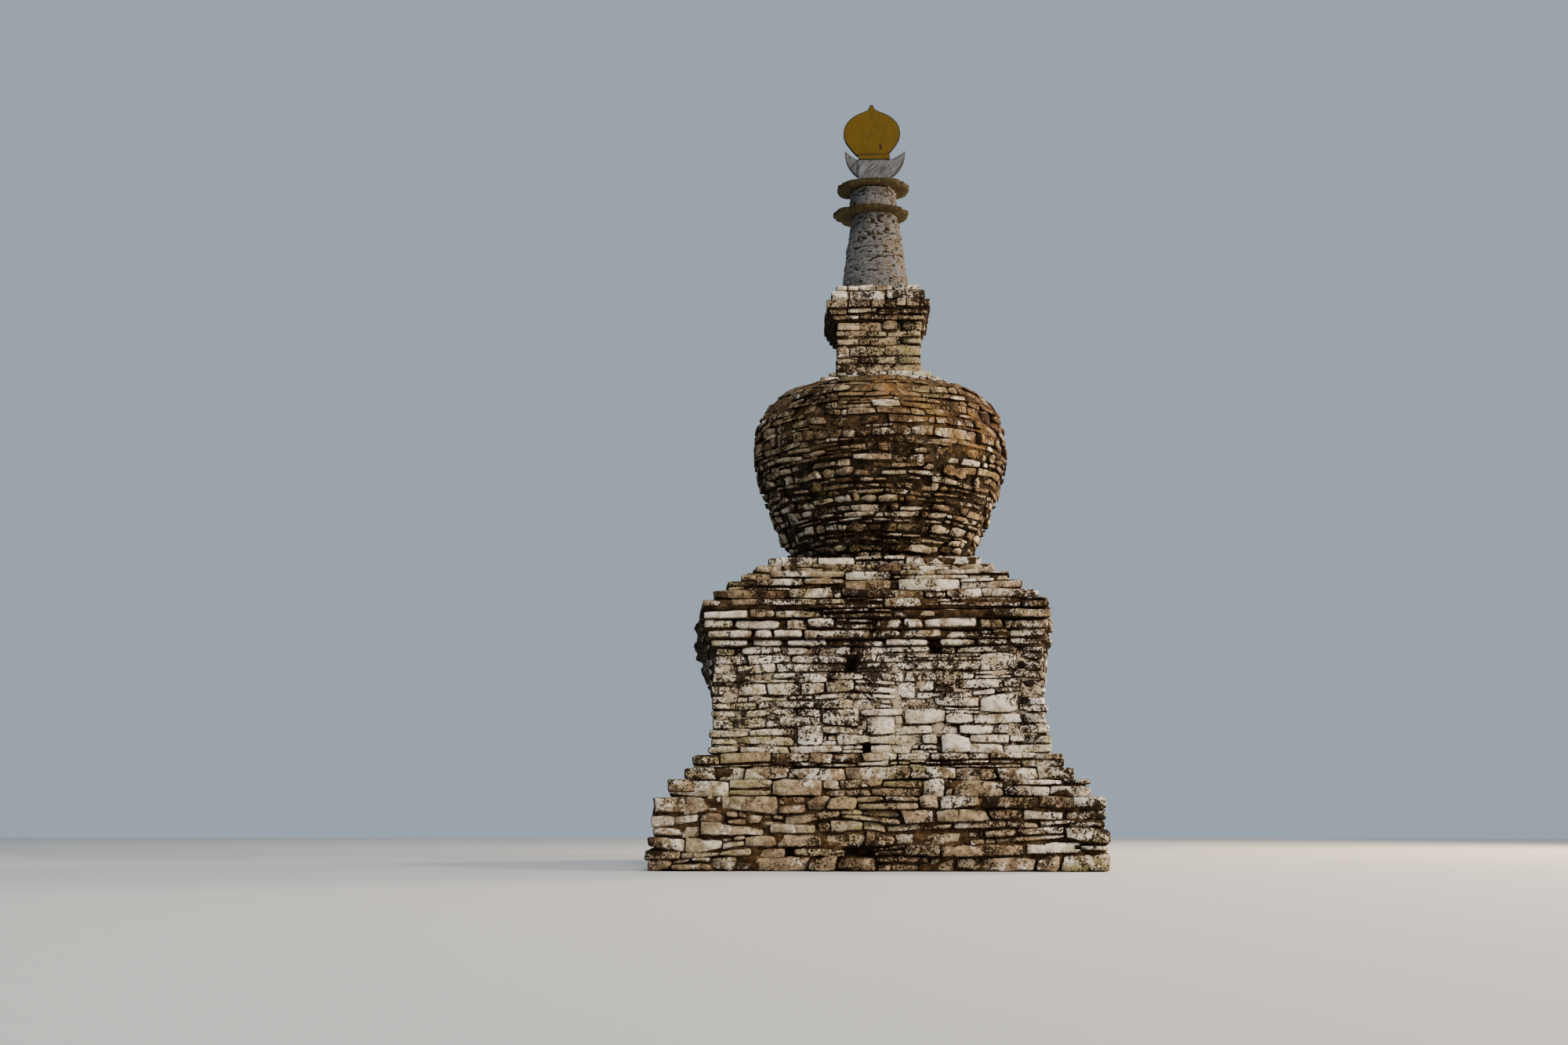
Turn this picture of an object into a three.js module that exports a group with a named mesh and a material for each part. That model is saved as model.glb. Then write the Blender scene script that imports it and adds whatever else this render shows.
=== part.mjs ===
// A small whitewashed village stupa of flat field stones, in millimetres, +Z up.
// The origin is the middle of its footprint on the ground, and -Y is its front.
// It stands as it was laid: a plinth with three steps, a throne with a corbelled
// cornice, a five-step terrace, a vase-shaped dome, a harmika, which is a small square box
// with its own cornice, a round spire with two slate discs, and a moon and sun on top.
import * as THREE from "three";

// Plinth: a broad base that leans in a little, and the steps up to the throne.
const PLINTH = { bottomHalf: 1427, topHalf: 1409, height: 455 };
const PLINTH_STEPS = [
  { half: 1318, height: 105 },
  { half: 1228, height: 80 },
  { half: 1176, height: 90 },
];

// Throne: the tall square body, its corbels and the two courses of its cornice.
const THRONE_WALL = { bottomHalf: 1100, topHalf: 1056, height: 690 };
const THRONE_CORBELS = [
  { half: 1076, height: 50 },
  { half: 1098, height: 60 },
  { half: 1116, height: 70 },
];
const THRONE_CORNICE = [
  { name: "throne_cornice_lower", half: 1130, height: 60 },
  { name: "throne_cornice_upper", half: 1124, height: 75 },
];
const LEFT_BELLY = 190; // how far the throne's side walls have bulged under the load
const RIGHT_BELLY = 130;
const BELLY_FOOT = 980; // the height where the bulge begins
const BELLY_LEFT_AT_TERRACE = 0.45; // the share of it that is left above the cornice

// Terrace: five narrow steps that close in on the dome.
const TERRACE_STEPS = [
  { half: 1058, height: 65 },
  { half: 966, height: 77 },
  { half: 876, height: 69 },
  { half: 796, height: 59 },
  { half: 721, height: 60 },
];

// Dome: a vase that flares from its foot to its shoulder and closes to a flat top.
const DOME = { footRadius: 605, wideRadius: 915, topRadius: 620, wideHeight: 835, height: 1270 };
const DOME_FLARE_POWER = 1.45; // how fast the foot opens out
const DOME_SHOULDER_POWER = 2.2; // 2 would be a plain ellipse
const DOME_STEPS = [
  { half: 469, height: 30 },
  { half: 418, height: 45 },
  { half: 356, height: 46 },
];

// Harmika: the square box on the dome. Its corbels start one course lower at the sides.
const HARMIKA_WALL = { half: 300, height: 382 };
const HARMIKA_SIDE_CORBEL = { depth: 28, height: 52, length: 560 };
const HARMIKA_CORBELS = [
  { half: 326, height: 41 },
  { half: 349, height: 40 },
];
const HARMIKA_CORNICE = { half: 370, height: 66 };
const HARMIKA_SPLAY = 34; // the left side of the corbels and cornice widens to the back
const HARMIKA_STEPS = [
  { half: 336, height: 79 },
  { half: 296, height: 52 },
];

// Spire: a plastered cone, a slate disc, a short neck and a second disc.
const CONE = { footRadius: 251, topRadius: 169, height: 606, swell: 6 };
const LOWER_DISC = { radius: 274, depthShare: 0.9, thickness: 34, turn: 1.1 };
const NECK = { footRadius: 177, topRadius: 171, height: 166 };
const UPPER_DISC = { radius: 264, depthShare: 0.88, thickness: 40, turn: 2.6 };
const DISC_EDGE = 9; // the worn rim of a slate disc
const DISC_WAVES = [
  { count: 2, height: 0.02, turned: 0 },
  { count: 3, height: 0.022, turned: 1 },
  { count: 5, height: 0.016, turned: 2 },
  { count: 9, height: 0.01, turned: 3 },
];

// Moon: a middle board with a horn on each side.
const MOON_BOARD = { half: 118, height: 242, thickness: 60 };
const MOON_RADIUS = 225; // the round underside of the horns
const MOON_CENTRE = { x: 8, height: 268 }; // that circle's centre, above the disc
const HORN = { crookHeight: 215, leftTip: 286, rightTip: 276, thickness: 42, hollow: 40, sag: 4 };

// Sun: a flat plate on a saddle over the moon's board.
const SADDLE = { half: 115, lip: 32, cap: 6, wall: 6 };
const SUN = { footHalf: 115, wideHalf: 213, height: 404, thickness: 28 };
const SUN_LEVELS = { wide: 172, shoulder: 355 };
const SUN_NECK_HALF = 46; // where the round plate turns up into its tip
const SUN_NECK_RISE = 12; // how far the neck's curve is lifted
const SUN_TIP_HALF = 15;
const SUN_LOWER = { inset: 42, rise: 66, belly: 112 }; // handles of the curve below the widest level
const SUN_UPPER = { inset: 66, drop: 34, belly: 94 }; // handles of the curve above it

// The courses were laid by eye, so each part stands a little off the plinth's middle.
const SHIFT = {
  steps: 9,
  throne: 18,
  terrace: 3,
  dome: 55,
  harmika: 50,
  cone: 33,
  lowerDisc: 6,
  neck: 24,
  upperDisc: 27,
  moon: 34,
  sun: 19,
};

const SIDE_STRETCHES = 8; // how many straight stretches follow a bulged side
const WALL_LEVELS = 10; // how many levels follow it upwards
const ROUND_SIDES = 48;
const FLARE_RINGS = 10;
const SHOULDER_RINGS = 12;
const CONE_RINGS = 6;
const HORN_STRETCHES = 12;

// Finishes, as plain colours.
const FINISHES = {
  whitewashed: { color: 0xb9b3ab, roughness: 0.92 },
  bareStone: { color: 0x7d6c57, roughness: 0.95 },
  domeStone: { color: 0x6e5d47, roughness: 0.95 },
  plaster: { color: 0xb5aca4, roughness: 0.9 },
  slate: { color: 0x5d5740, roughness: 0.9 },
  moonPaint: { color: 0x9a9c9e, roughness: 0.8 },
  sunPaint: { color: 0x9a7a1c, roughness: 0.65 },
};

const stupa = new THREE.Group();

// Adds a named piece that stands at a height, some way off the middle.
function add(name, geometry, finish, z, shiftX = 0) {
  const material = new THREE.MeshStandardMaterial({ ...FINISHES[finish], metalness: 0 });
  const piece = new THREE.Mesh(geometry, material);
  piece.name = name;
  piece.position.set(shiftX, 0, z);
  stupa.add(piece);
}

// A square outline whose sides are broken into short stretches.
function squareOutline(half) {
  const corners = [
    [-half, -half],
    [half, -half],
    [half, half],
    [-half, half],
  ];
  const points = corners.flatMap(([x, y], i) => {
    const [nextX, nextY] = corners[(i + 1) % corners.length];
    return Array.from({ length: SIDE_STRETCHES }, (_, k) => {
      const t = k / SIDE_STRETCHES;
      return new THREE.Vector2(x + (nextX - x) * t, y + (nextY - y) * t);
    });
  });
  return new THREE.Shape(points);
}

// Moves the points of a geometry: change(x, y, z) returns the new x and y.
function reshape(geometry, change) {
  const position = geometry.getAttribute("position");
  for (let i = 0; i < position.count; i++) {
    const [x, y] = change(position.getX(i), position.getY(i), position.getZ(i));
    position.setXY(i, x, y);
  }
  geometry.computeVertexNormals();
  return geometry;
}

// One square course, which may lean in and have its left and right sides changed by
// side(x, y, z), where x and y are shares of the half-width.
function squareCourse({ half, bottomHalf = half, topHalf = half, height }, side = null, levels = 1) {
  const slab = new THREE.ExtrudeGeometry(squareOutline(bottomHalf), {
    depth: height,
    steps: levels,
    bevelEnabled: false,
  });
  return reshape(slab, (x, y, z) => {
    const lean = 1 + (topHalf / bottomHalf - 1) * (z / height);
    const push = side ? side(x / bottomHalf, y / bottomHalf, z) : 0;
    return [x * lean + push, y * lean];
  });
}

// Stacks square courses and returns the height of the top.
function stackCourses(courses, nameOf, finish, foot, shiftX, sideAt = null) {
  let z = foot;
  courses.forEach((course, i) => {
    const courseFoot = z;
    const side = sideAt && ((x, y, up) => sideAt(x, y, courseFoot + up));
    add(nameOf(course, i), squareCourse(course, side), finish, z, shiftX);
    z += course.height;
  });
  return z;
}

const totalHeight = (courses) => courses.reduce((sum, course) => sum + course.height, 0);

// A round body from its profile of [radius, height] pairs, foot first.
function turned(profile) {
  const points = [[0, profile[0][1]], ...profile, [0, profile.at(-1)[1]]];
  const outline = points.map(([radius, height]) => new THREE.Vector2(radius, height));
  return new THREE.LatheGeometry(outline, ROUND_SIDES).rotateX(Math.PI / 2);
}

// An upright plate of the given thickness from an outline in X and height.
function uprightPlate(outline, thickness) {
  const plate = new THREE.ExtrudeGeometry(outline, {
    depth: thickness,
    bevelEnabled: false,
    curveSegments: 10,
  });
  return plate.rotateX(Math.PI / 2).translate(0, thickness / 2, 0);
}

// Plinth and its steps.
const stepFoot = PLINTH.height;
const throneFoot = stepFoot + totalHeight(PLINTH_STEPS);
add("plinth", squareCourse(PLINTH), "bareStone", 0);
stackCourses(PLINTH_STEPS, (_, i) => `plinth_step_${i + 1}`, "bareStone", stepFoot, SHIFT.steps);

// Wall, corbels, cornice and terrace share one bulge: it grows over the upper wall, is
// greatest where the corbels begin, and fades again up the cornice and terrace.
const corbelFoot = throneFoot + THRONE_WALL.height;
const corniceFoot = corbelFoot + totalHeight(THRONE_CORBELS);
const terraceFoot = corniceFoot + totalHeight(THRONE_CORNICE);
const domeFoot = terraceFoot + totalHeight(TERRACE_STEPS);
function bellyShare(z) {
  if (z <= corbelFoot) {
    return THREE.MathUtils.smoothstep(z, BELLY_FOOT, corbelFoot);
  }
  if (z <= terraceFoot) {
    return THREE.MathUtils.mapLinear(z, corbelFoot, terraceFoot, 1, BELLY_LEFT_AT_TERRACE);
  }
  return THREE.MathUtils.mapLinear(z, terraceFoot, domeFoot, BELLY_LEFT_AT_TERRACE, 0);
}
function belly(x, y, z) {
  const outward = x < 0 ? -LEFT_BELLY : RIGHT_BELLY;
  return Math.abs(x) * outward * Math.cos((y * Math.PI) / 2) * bellyShare(z);
}
const throneSide = (x, y, up) => belly(x, y, throneFoot + up);
const throneWall = squareCourse(THRONE_WALL, throneSide, WALL_LEVELS);
add("throne_wall", throneWall, "whitewashed", throneFoot, SHIFT.throne);
for (const [courses, nameOf, foot] of [
  [THRONE_CORBELS, (_, i) => `throne_corbel_${i + 1}`, corbelFoot],
  [THRONE_CORNICE, ({ name }) => name, corniceFoot],
  [TERRACE_STEPS, (_, i) => `terrace_step_${i + 1}`, terraceFoot],
]) {
  stackCourses(courses, nameOf, "whitewashed", foot, SHIFT.terrace, belly);
}

// Dome: the flare below its widest ring and the rounded shoulder above it.
function domeProfile() {
  const { footRadius, wideRadius, topRadius, wideHeight, height } = DOME;
  const flare = Array.from({ length: FLARE_RINGS }, (_, i) => {
    const t = i / FLARE_RINGS;
    const opened = 1 - (1 - t) ** DOME_FLARE_POWER;
    return [footRadius + (wideRadius - footRadius) * opened, wideHeight * t];
  });
  const shoulder = Array.from({ length: SHOULDER_RINGS + 1 }, (_, i) => {
    const angle = (Math.PI / 2) * (i / SHOULDER_RINGS);
    const out = Math.max(0, Math.cos(angle)) ** (2 / DOME_SHOULDER_POWER);
    const up = Math.sin(angle) ** (2 / DOME_SHOULDER_POWER);
    return [topRadius + (wideRadius - topRadius) * out, wideHeight + (height - wideHeight) * up];
  });
  return [...flare, ...shoulder];
}
add("dome", turned(domeProfile()), "domeStone", domeFoot, SHIFT.dome);
const domeTop = domeFoot + DOME.height;
const harmikaFoot = stackCourses(
  DOME_STEPS,
  (_, i) => `dome_step_${i + 1}`,
  "plaster",
  domeTop,
  SHIFT.dome,
);

// Harmika: wall, side corbels, corbels, cornice and steps.
const harmikaTop = harmikaFoot + HARMIKA_WALL.height;
add("harmika_wall", squareCourse(HARMIKA_WALL), "plaster", harmikaFoot, SHIFT.harmika);
for (const [name, direction] of [
  ["harmika_side_corbel_left", -1],
  ["harmika_side_corbel_right", 1],
]) {
  const { depth, height, length } = HARMIKA_SIDE_CORBEL;
  const block = new THREE.BoxGeometry(depth, length, height);
  const outX = SHIFT.harmika + direction * (HARMIKA_WALL.half + depth / 2);
  add(name, block, "bareStone", harmikaTop - height / 2, outX);
}
const splay = (x, y) => (x < 0 ? (x * HARMIKA_SPLAY * (1 + y)) / 2 : 0);
const harmikaCorniceFoot = stackCourses(
  HARMIKA_CORBELS,
  (_, i) => `harmika_corbel_${i + 1}`,
  "bareStone",
  harmikaTop,
  SHIFT.harmika,
  splay,
);
const harmikaCornice = squareCourse(HARMIKA_CORNICE, splay);
add("harmika_cornice", harmikaCornice, "plaster", harmikaCorniceFoot, SHIFT.harmika);
const coneFoot = stackCourses(
  HARMIKA_STEPS,
  (_, i) => `harmika_step_${i + 1}`,
  "plaster",
  harmikaCorniceFoot + HARMIKA_CORNICE.height,
  SHIFT.harmika,
);

// Spire.
const coneProfile = Array.from({ length: CONE_RINGS + 1 }, (_, i) => {
  const t = i / CONE_RINGS;
  const straight = CONE.footRadius + (CONE.topRadius - CONE.footRadius) * t;
  return [straight + CONE.swell * Math.sin(Math.PI * t), CONE.height * t];
});
add("spire_cone", turned(coneProfile), "plaster", coneFoot, SHIFT.cone);

// A slate disc, broken to shape by hand, which a few waves round its edge stand for.
function slateDisc({ radius, depthShare, thickness, turn }) {
  const points = Array.from({ length: ROUND_SIDES }, (_, i) => {
    const angle = (i / ROUND_SIDES) * Math.PI * 2;
    const waves = DISC_WAVES.map((wave) => wave.height * Math.cos(wave.count * angle + wave.turned * turn));
    const reach = radius * (1 + waves.reduce((sum, wave) => sum + wave, 0));
    return new THREE.Vector2(reach * Math.cos(angle), depthShare * reach * Math.sin(angle));
  });
  return new THREE.ExtrudeGeometry(new THREE.Shape(points), {
    depth: thickness - 2 * DISC_EDGE,
    bevelThickness: DISC_EDGE,
    bevelSize: DISC_EDGE,
    bevelOffset: -DISC_EDGE,
    bevelSegments: 1,
  }).translate(0, 0, DISC_EDGE);
}
const lowerDiscFoot = coneFoot + CONE.height;
const neckFoot = lowerDiscFoot + LOWER_DISC.thickness;
const upperDiscFoot = neckFoot + NECK.height;
const neckProfile = [
  [NECK.footRadius, 0],
  [NECK.topRadius, NECK.height],
];
add("spire_lower_disc", slateDisc(LOWER_DISC), "slate", lowerDiscFoot, SHIFT.lowerDisc);
add("spire_neck", turned(neckProfile), "plaster", neckFoot, SHIFT.neck);
add("spire_upper_disc", slateDisc(UPPER_DISC), "slate", upperDiscFoot, SHIFT.upperDisc);

// Moon: the middle board stands on the upper disc, and the horns are fixed to its sides.
const moonFoot = upperDiscFoot + UPPER_DISC.thickness;
const boardBlock = new THREE.BoxGeometry(2 * MOON_BOARD.half, MOON_BOARD.thickness, MOON_BOARD.height);
add("moon_board", boardBlock, "moonPaint", moonFoot + MOON_BOARD.height / 2, SHIFT.moon);

// A horn: up the board to the crook, out along a shallow hollow to the tip, and back
// down the moon's round underside.
function hornOutline(direction, tipHeight) {
  const inner = direction * MOON_BOARD.half;
  const onCircle = (angle) => [
    MOON_CENTRE.x + direction * MOON_RADIUS * Math.cos(angle),
    MOON_CENTRE.height + MOON_RADIUS * Math.sin(angle),
  ];
  const underAngle = Math.acos((MOON_BOARD.half - direction * MOON_CENTRE.x) / MOON_RADIUS);
  const tipAngle = Math.asin((tipHeight - MOON_CENTRE.height) / MOON_RADIUS);
  const hollow = [inner + direction * HORN.hollow, HORN.crookHeight + HORN.sag];
  const outline = new THREE.Shape();
  outline.moveTo(...onCircle(-underAngle));
  outline.lineTo(inner, HORN.crookHeight);
  outline.quadraticCurveTo(...hollow, ...onCircle(tipAngle));
  for (let i = 1; i < HORN_STRETCHES; i++) {
    outline.lineTo(...onCircle(tipAngle - (i / HORN_STRETCHES) * (tipAngle + underAngle)));
  }
  return outline;
}
for (const [name, direction, tipHeight] of [
  ["moon_horn_left", -1, HORN.leftTip],
  ["moon_horn_right", 1, HORN.rightTip],
]) {
  const horn = uprightPlate(hornOutline(direction, tipHeight), HORN.thickness);
  add(name, horn, "moonPaint", moonFoot, SHIFT.moon);
}

// Saddle: a cap over the board's top with a lip down its front and back.
function saddleOutline() {
  const inner = MOON_BOARD.thickness / 2;
  const outer = inner + SADDLE.wall;
  return new THREE.Shape([
    new THREE.Vector2(-outer, -SADDLE.lip),
    new THREE.Vector2(-inner, -SADDLE.lip),
    new THREE.Vector2(-inner, 0),
    new THREE.Vector2(inner, 0),
    new THREE.Vector2(inner, -SADDLE.lip),
    new THREE.Vector2(outer, -SADDLE.lip),
    new THREE.Vector2(outer, SADDLE.cap),
    new THREE.Vector2(-outer, SADDLE.cap),
  ]);
}
const saddle = new THREE.ExtrudeGeometry(saddleOutline(), {
  depth: 2 * SADDLE.half,
  bevelEnabled: false,
});
saddle.rotateX(Math.PI / 2).rotateZ(Math.PI / 2).translate(-SADDLE.half, 0, 0);
const saddleFoot = moonFoot + MOON_BOARD.height;
add("sun_saddle", saddle, "sunPaint", saddleFoot, SHIFT.moon);

// Sun: a round plate, a little flattened, drawn up into a small tip.
function sunOutline() {
  const { footHalf, wideHalf, height } = SUN;
  const { wide, shoulder } = SUN_LEVELS;
  const lowerIn = wideHalf - SUN_LOWER.inset;
  const upperIn = wideHalf - SUN_UPPER.inset;
  const upperHandle = shoulder - SUN_UPPER.drop;
  const crown = wide + SUN_UPPER.belly;
  const neckHandle = shoulder + SUN_NECK_RISE;
  const tipFoot = height - SUN_TIP_HALF;
  const outline = new THREE.Shape();
  outline.moveTo(-footHalf, 0);
  outline.lineTo(footHalf, 0);
  outline.bezierCurveTo(lowerIn, SUN_LOWER.rise, wideHalf, SUN_LOWER.belly, wideHalf, wide);
  outline.bezierCurveTo(wideHalf, crown, upperIn, upperHandle, SUN_NECK_HALF, shoulder);
  outline.quadraticCurveTo(SUN_NECK_HALF / 2, neckHandle, SUN_TIP_HALF, tipFoot);
  outline.quadraticCurveTo(SUN_TIP_HALF, height, 0, height);
  outline.quadraticCurveTo(-SUN_TIP_HALF, height, -SUN_TIP_HALF, tipFoot);
  outline.quadraticCurveTo(-SUN_NECK_HALF / 2, neckHandle, -SUN_NECK_HALF, shoulder);
  outline.bezierCurveTo(-upperIn, upperHandle, -wideHalf, crown, -wideHalf, wide);
  outline.bezierCurveTo(-wideHalf, SUN_LOWER.belly, -lowerIn, SUN_LOWER.rise, -footHalf, 0);
  return outline;
}
add("sun_disc", uprightPlate(sunOutline(), SUN.thickness), "sunPaint", saddleFoot + SADDLE.cap, SHIFT.sun);

export default stupa;
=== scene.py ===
# %% [markdown]
# A small village stupa stands in the open and is laid dry: flat field stones, earth in
# the joints and a coat of whitewash that the rain has half taken away. It rises from a
# stepped plinth to a square throne, a terrace, a round dome, a little box called the
# harmika, a plastered cone with two slate discs, and a moon and a sun cut from boards.
# The imported model holds the true sizes. Here every stone, edge and coat of paint is made
# around it, so the first step loads that model and keeps the box of each of its parts.

# %% Load the frame
import collections
import functools
import math
import random

import bmesh
import bpy
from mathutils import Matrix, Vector, noise
from mathutils.bvhtree import BVHTree


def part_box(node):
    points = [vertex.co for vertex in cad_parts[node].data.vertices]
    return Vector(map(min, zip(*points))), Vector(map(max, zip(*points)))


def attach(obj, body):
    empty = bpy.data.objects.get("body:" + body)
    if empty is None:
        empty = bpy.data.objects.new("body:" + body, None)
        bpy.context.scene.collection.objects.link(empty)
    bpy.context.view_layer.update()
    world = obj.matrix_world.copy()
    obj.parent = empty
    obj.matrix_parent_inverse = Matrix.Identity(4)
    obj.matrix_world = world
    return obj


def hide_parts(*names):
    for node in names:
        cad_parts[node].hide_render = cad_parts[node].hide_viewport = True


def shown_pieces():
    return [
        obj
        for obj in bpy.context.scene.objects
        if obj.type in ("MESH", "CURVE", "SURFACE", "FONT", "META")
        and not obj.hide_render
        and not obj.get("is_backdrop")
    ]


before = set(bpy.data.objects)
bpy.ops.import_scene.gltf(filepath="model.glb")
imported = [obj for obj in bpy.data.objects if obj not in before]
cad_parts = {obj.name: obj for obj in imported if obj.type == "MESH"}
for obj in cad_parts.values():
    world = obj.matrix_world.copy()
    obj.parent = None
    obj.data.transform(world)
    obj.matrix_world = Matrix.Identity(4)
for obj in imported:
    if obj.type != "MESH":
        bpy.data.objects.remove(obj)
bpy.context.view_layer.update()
boxes = {node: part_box(node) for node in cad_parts}

# %% [markdown]
# The camera stands twelve metres off, close to the ground, and looks up at the stupa. It
# is made first, because every later choice, such as how fine a stone's surface has to be,
# is judged from here. The lens is a short one, so the tower narrows upwards a little.

# %% Camera
CAMERA_PLACE = (-0.0915, -12.0, 0.3413)
CAMERA_PITCH = 9.855  # degrees above level
CAMERA_YAW = 2.624  # degrees to the left of straight ahead
CAMERA_LENS = 38.7
CAMERA_SENSOR = 36.0


def new_object(name, data):
    thing = bpy.data.objects.new(name, data)
    bpy.context.scene.collection.objects.link(thing)
    return thing


camera = new_object("camera", bpy.data.cameras.new("camera"))
camera.location = CAMERA_PLACE
camera.rotation_euler = (math.radians(90 + CAMERA_PITCH), 0, math.radians(CAMERA_YAW))
camera.data.lens = CAMERA_LENS
camera.data.sensor_width = CAMERA_SENSOR
bpy.context.scene.camera = camera

# %% [markdown]
# Every tree in this lesson, for shapes and for paint, is wired by the same few helpers.
# One adds a node and fills its inputs. The value that leaves a node is called a wire
# here. A sign between two wires, or between a wire and a number, adds one maths node, so
# a formula in a tree reads as it would on paper.

# %% Helpers for wiring nodes
def add(tree, kind, inputs=(), **settings):
    """Adds a node. Its inputs are plain values or wires, given by name or in order."""
    node = tree.nodes.new(kind)
    for name, value in settings.items():
        setattr(node, name, value)
    sockets = [s for s in node.inputs if s.enabled]
    if isinstance(inputs, dict):
        sockets = [next(s for s in sockets if name in (s.name, s.identifier)) for name in inputs]
        inputs = inputs.values()
    for socket, value in zip(sockets, inputs):
        if isinstance(value, Wire):
            tree.links.new(value.socket, socket)
        else:
            socket.default_value = value
    return node


def wire(tree, kind, inputs=(), out=None, **settings):
    """Adds a node and returns one of its outputs, the first in use if none is named."""
    node = add(tree, kind, inputs, **settings)
    return Wire(node.outputs[out] if out else next(s for s in node.outputs if s.enabled))


def maths(operation, *values):
    """One maths node, a vector one where the first wire carries a vector or a colour."""
    first = next(v for v in values if isinstance(v, Wire))
    if first.is_vector and operation == "MULTIPLY" and not isinstance(values[1], tuple):
        operation = "SCALE"
    kind = "ShaderNodeVectorMath" if first.is_vector else "ShaderNodeMath"
    return wire(first.tree, kind, values, operation=operation)


class Wire:
    """What leaves a node, with signs that add maths nodes."""

    def __init__(self, socket):
        self.socket = socket
        self.tree = socket.id_data
        self.is_vector = socket.type in ("VECTOR", "RGBA")

    __add__ = __radd__ = lambda self, other: maths("ADD", self, other)
    __mul__ = __rmul__ = lambda self, other: maths("MULTIPLY", self, other)
    __sub__ = lambda self, other: maths("SUBTRACT", self, other)
    __rsub__ = lambda self, other: maths("SUBTRACT", other, self)
    __truediv__ = lambda self, other: maths("DIVIDE", self, other)
    __rtruediv__ = lambda self, other: maths("DIVIDE", other, self)


def split(vector):
    return [Wire(s) for s in add(vector.tree, "ShaderNodeSeparateXYZ", (vector,)).outputs]


def combine(x, y, z):
    return wire(x.tree, "ShaderNodeCombineXYZ", (x, y, z))


def cloud(where, scale, detail, roughness, out="Fac"):
    return wire(where.tree, "ShaderNodeTexNoise", (where, scale, detail, roughness), out)


# %% [markdown]
# A field stone is a worn block: flat where it split, rounded along its edges, never quite
# square. It could be sculpted, or cut with a Boolean, but there are thousands, so one
# Geometry Nodes tree makes them all. Each point of the input mesh is one stone and
# carries its size, its turn and the way it leans. The tree puts a small cube on each
# point, moves the cube's outer rings to just inside the edges, rounds them by a real
# distance, shears the block, and roughens it with noise that differs from stone to stone.
# It leaves two marks for the paint: "flat" is 1 on the face and 0 along its edges, and
# "inside" grows from 0 at the face to 1 in the joint. Where a tread shows the tops of its
# stones, their mark "cap" makes the top count as a face too.

# %% The tree that makes stones
def read(tree, name, kind="FLOAT_VECTOR"):
    return wire(tree, "GeometryNodeInputNamedAttribute", {"Name": name}, data_type=kind)


def store(geometry, name, value, kind="FLOAT_VECTOR"):
    inputs = {"Geometry": geometry, "Name": name, "Value": value}
    return wire(geometry.tree, "GeometryNodeStoreNamedAttribute", inputs, data_type=kind, domain="POINT")


def clamp_to(value, limit):
    return maths("MINIMUM", maths("MAXIMUM", value, limit * -1.0), limit)


def ringed(share, count, half, rounding):
    """Where a cube's vertex goes along one axis: inner ones spread, outer ones at the edge."""
    step = 2.0 / (count - 1.0)
    inner_share = 1.0 - step
    size = maths("ABSOLUTE", share)
    within = maths("MINIMUM", size / inner_share, 1.0)
    beyond = maths("MAXIMUM", (size - inner_share) / step, 0.0)
    place = within * (half - rounding) + beyond * rounding
    return place * maths("SIGN", share), maths("LESS_THAN", beyond, 0.5)


STONE_INPUTS = {
    "Stones": "Geometry",
    "Columns": "Int",
    "Rows": "Int",
    "Rounding": "Float",
    "Lump height": "Float",
    "Lump size": "Float",
    "Seed": "Float",
    "Stone": "Material",
    "Core": "Object",
    "Core paint": "Material",
}
USED_UP = ("cell", "centre", "size", "yaw", "lean", "cut", "ends", "cap")
WORN_LENGTH = 0.032  # how far in from its ends a stone is worn
END_FALL = 0.8  # how far a worn end falls back, in half thicknesses
MOST_ROUNDING = 0.8  # the most that an edge is rounded, in half thicknesses
FULL_LUMPS = 0.035  # half the thickness at which a stone's lumps have their full height
MOST_LUMPS = 1.5  # and how many times higher they are on the thickest
AT_END = 0.9  # a cell coordinate above this lies at an end or on top
SEED_STEP = 57.0  # sets the noise of one stone apart from the next one's


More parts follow.
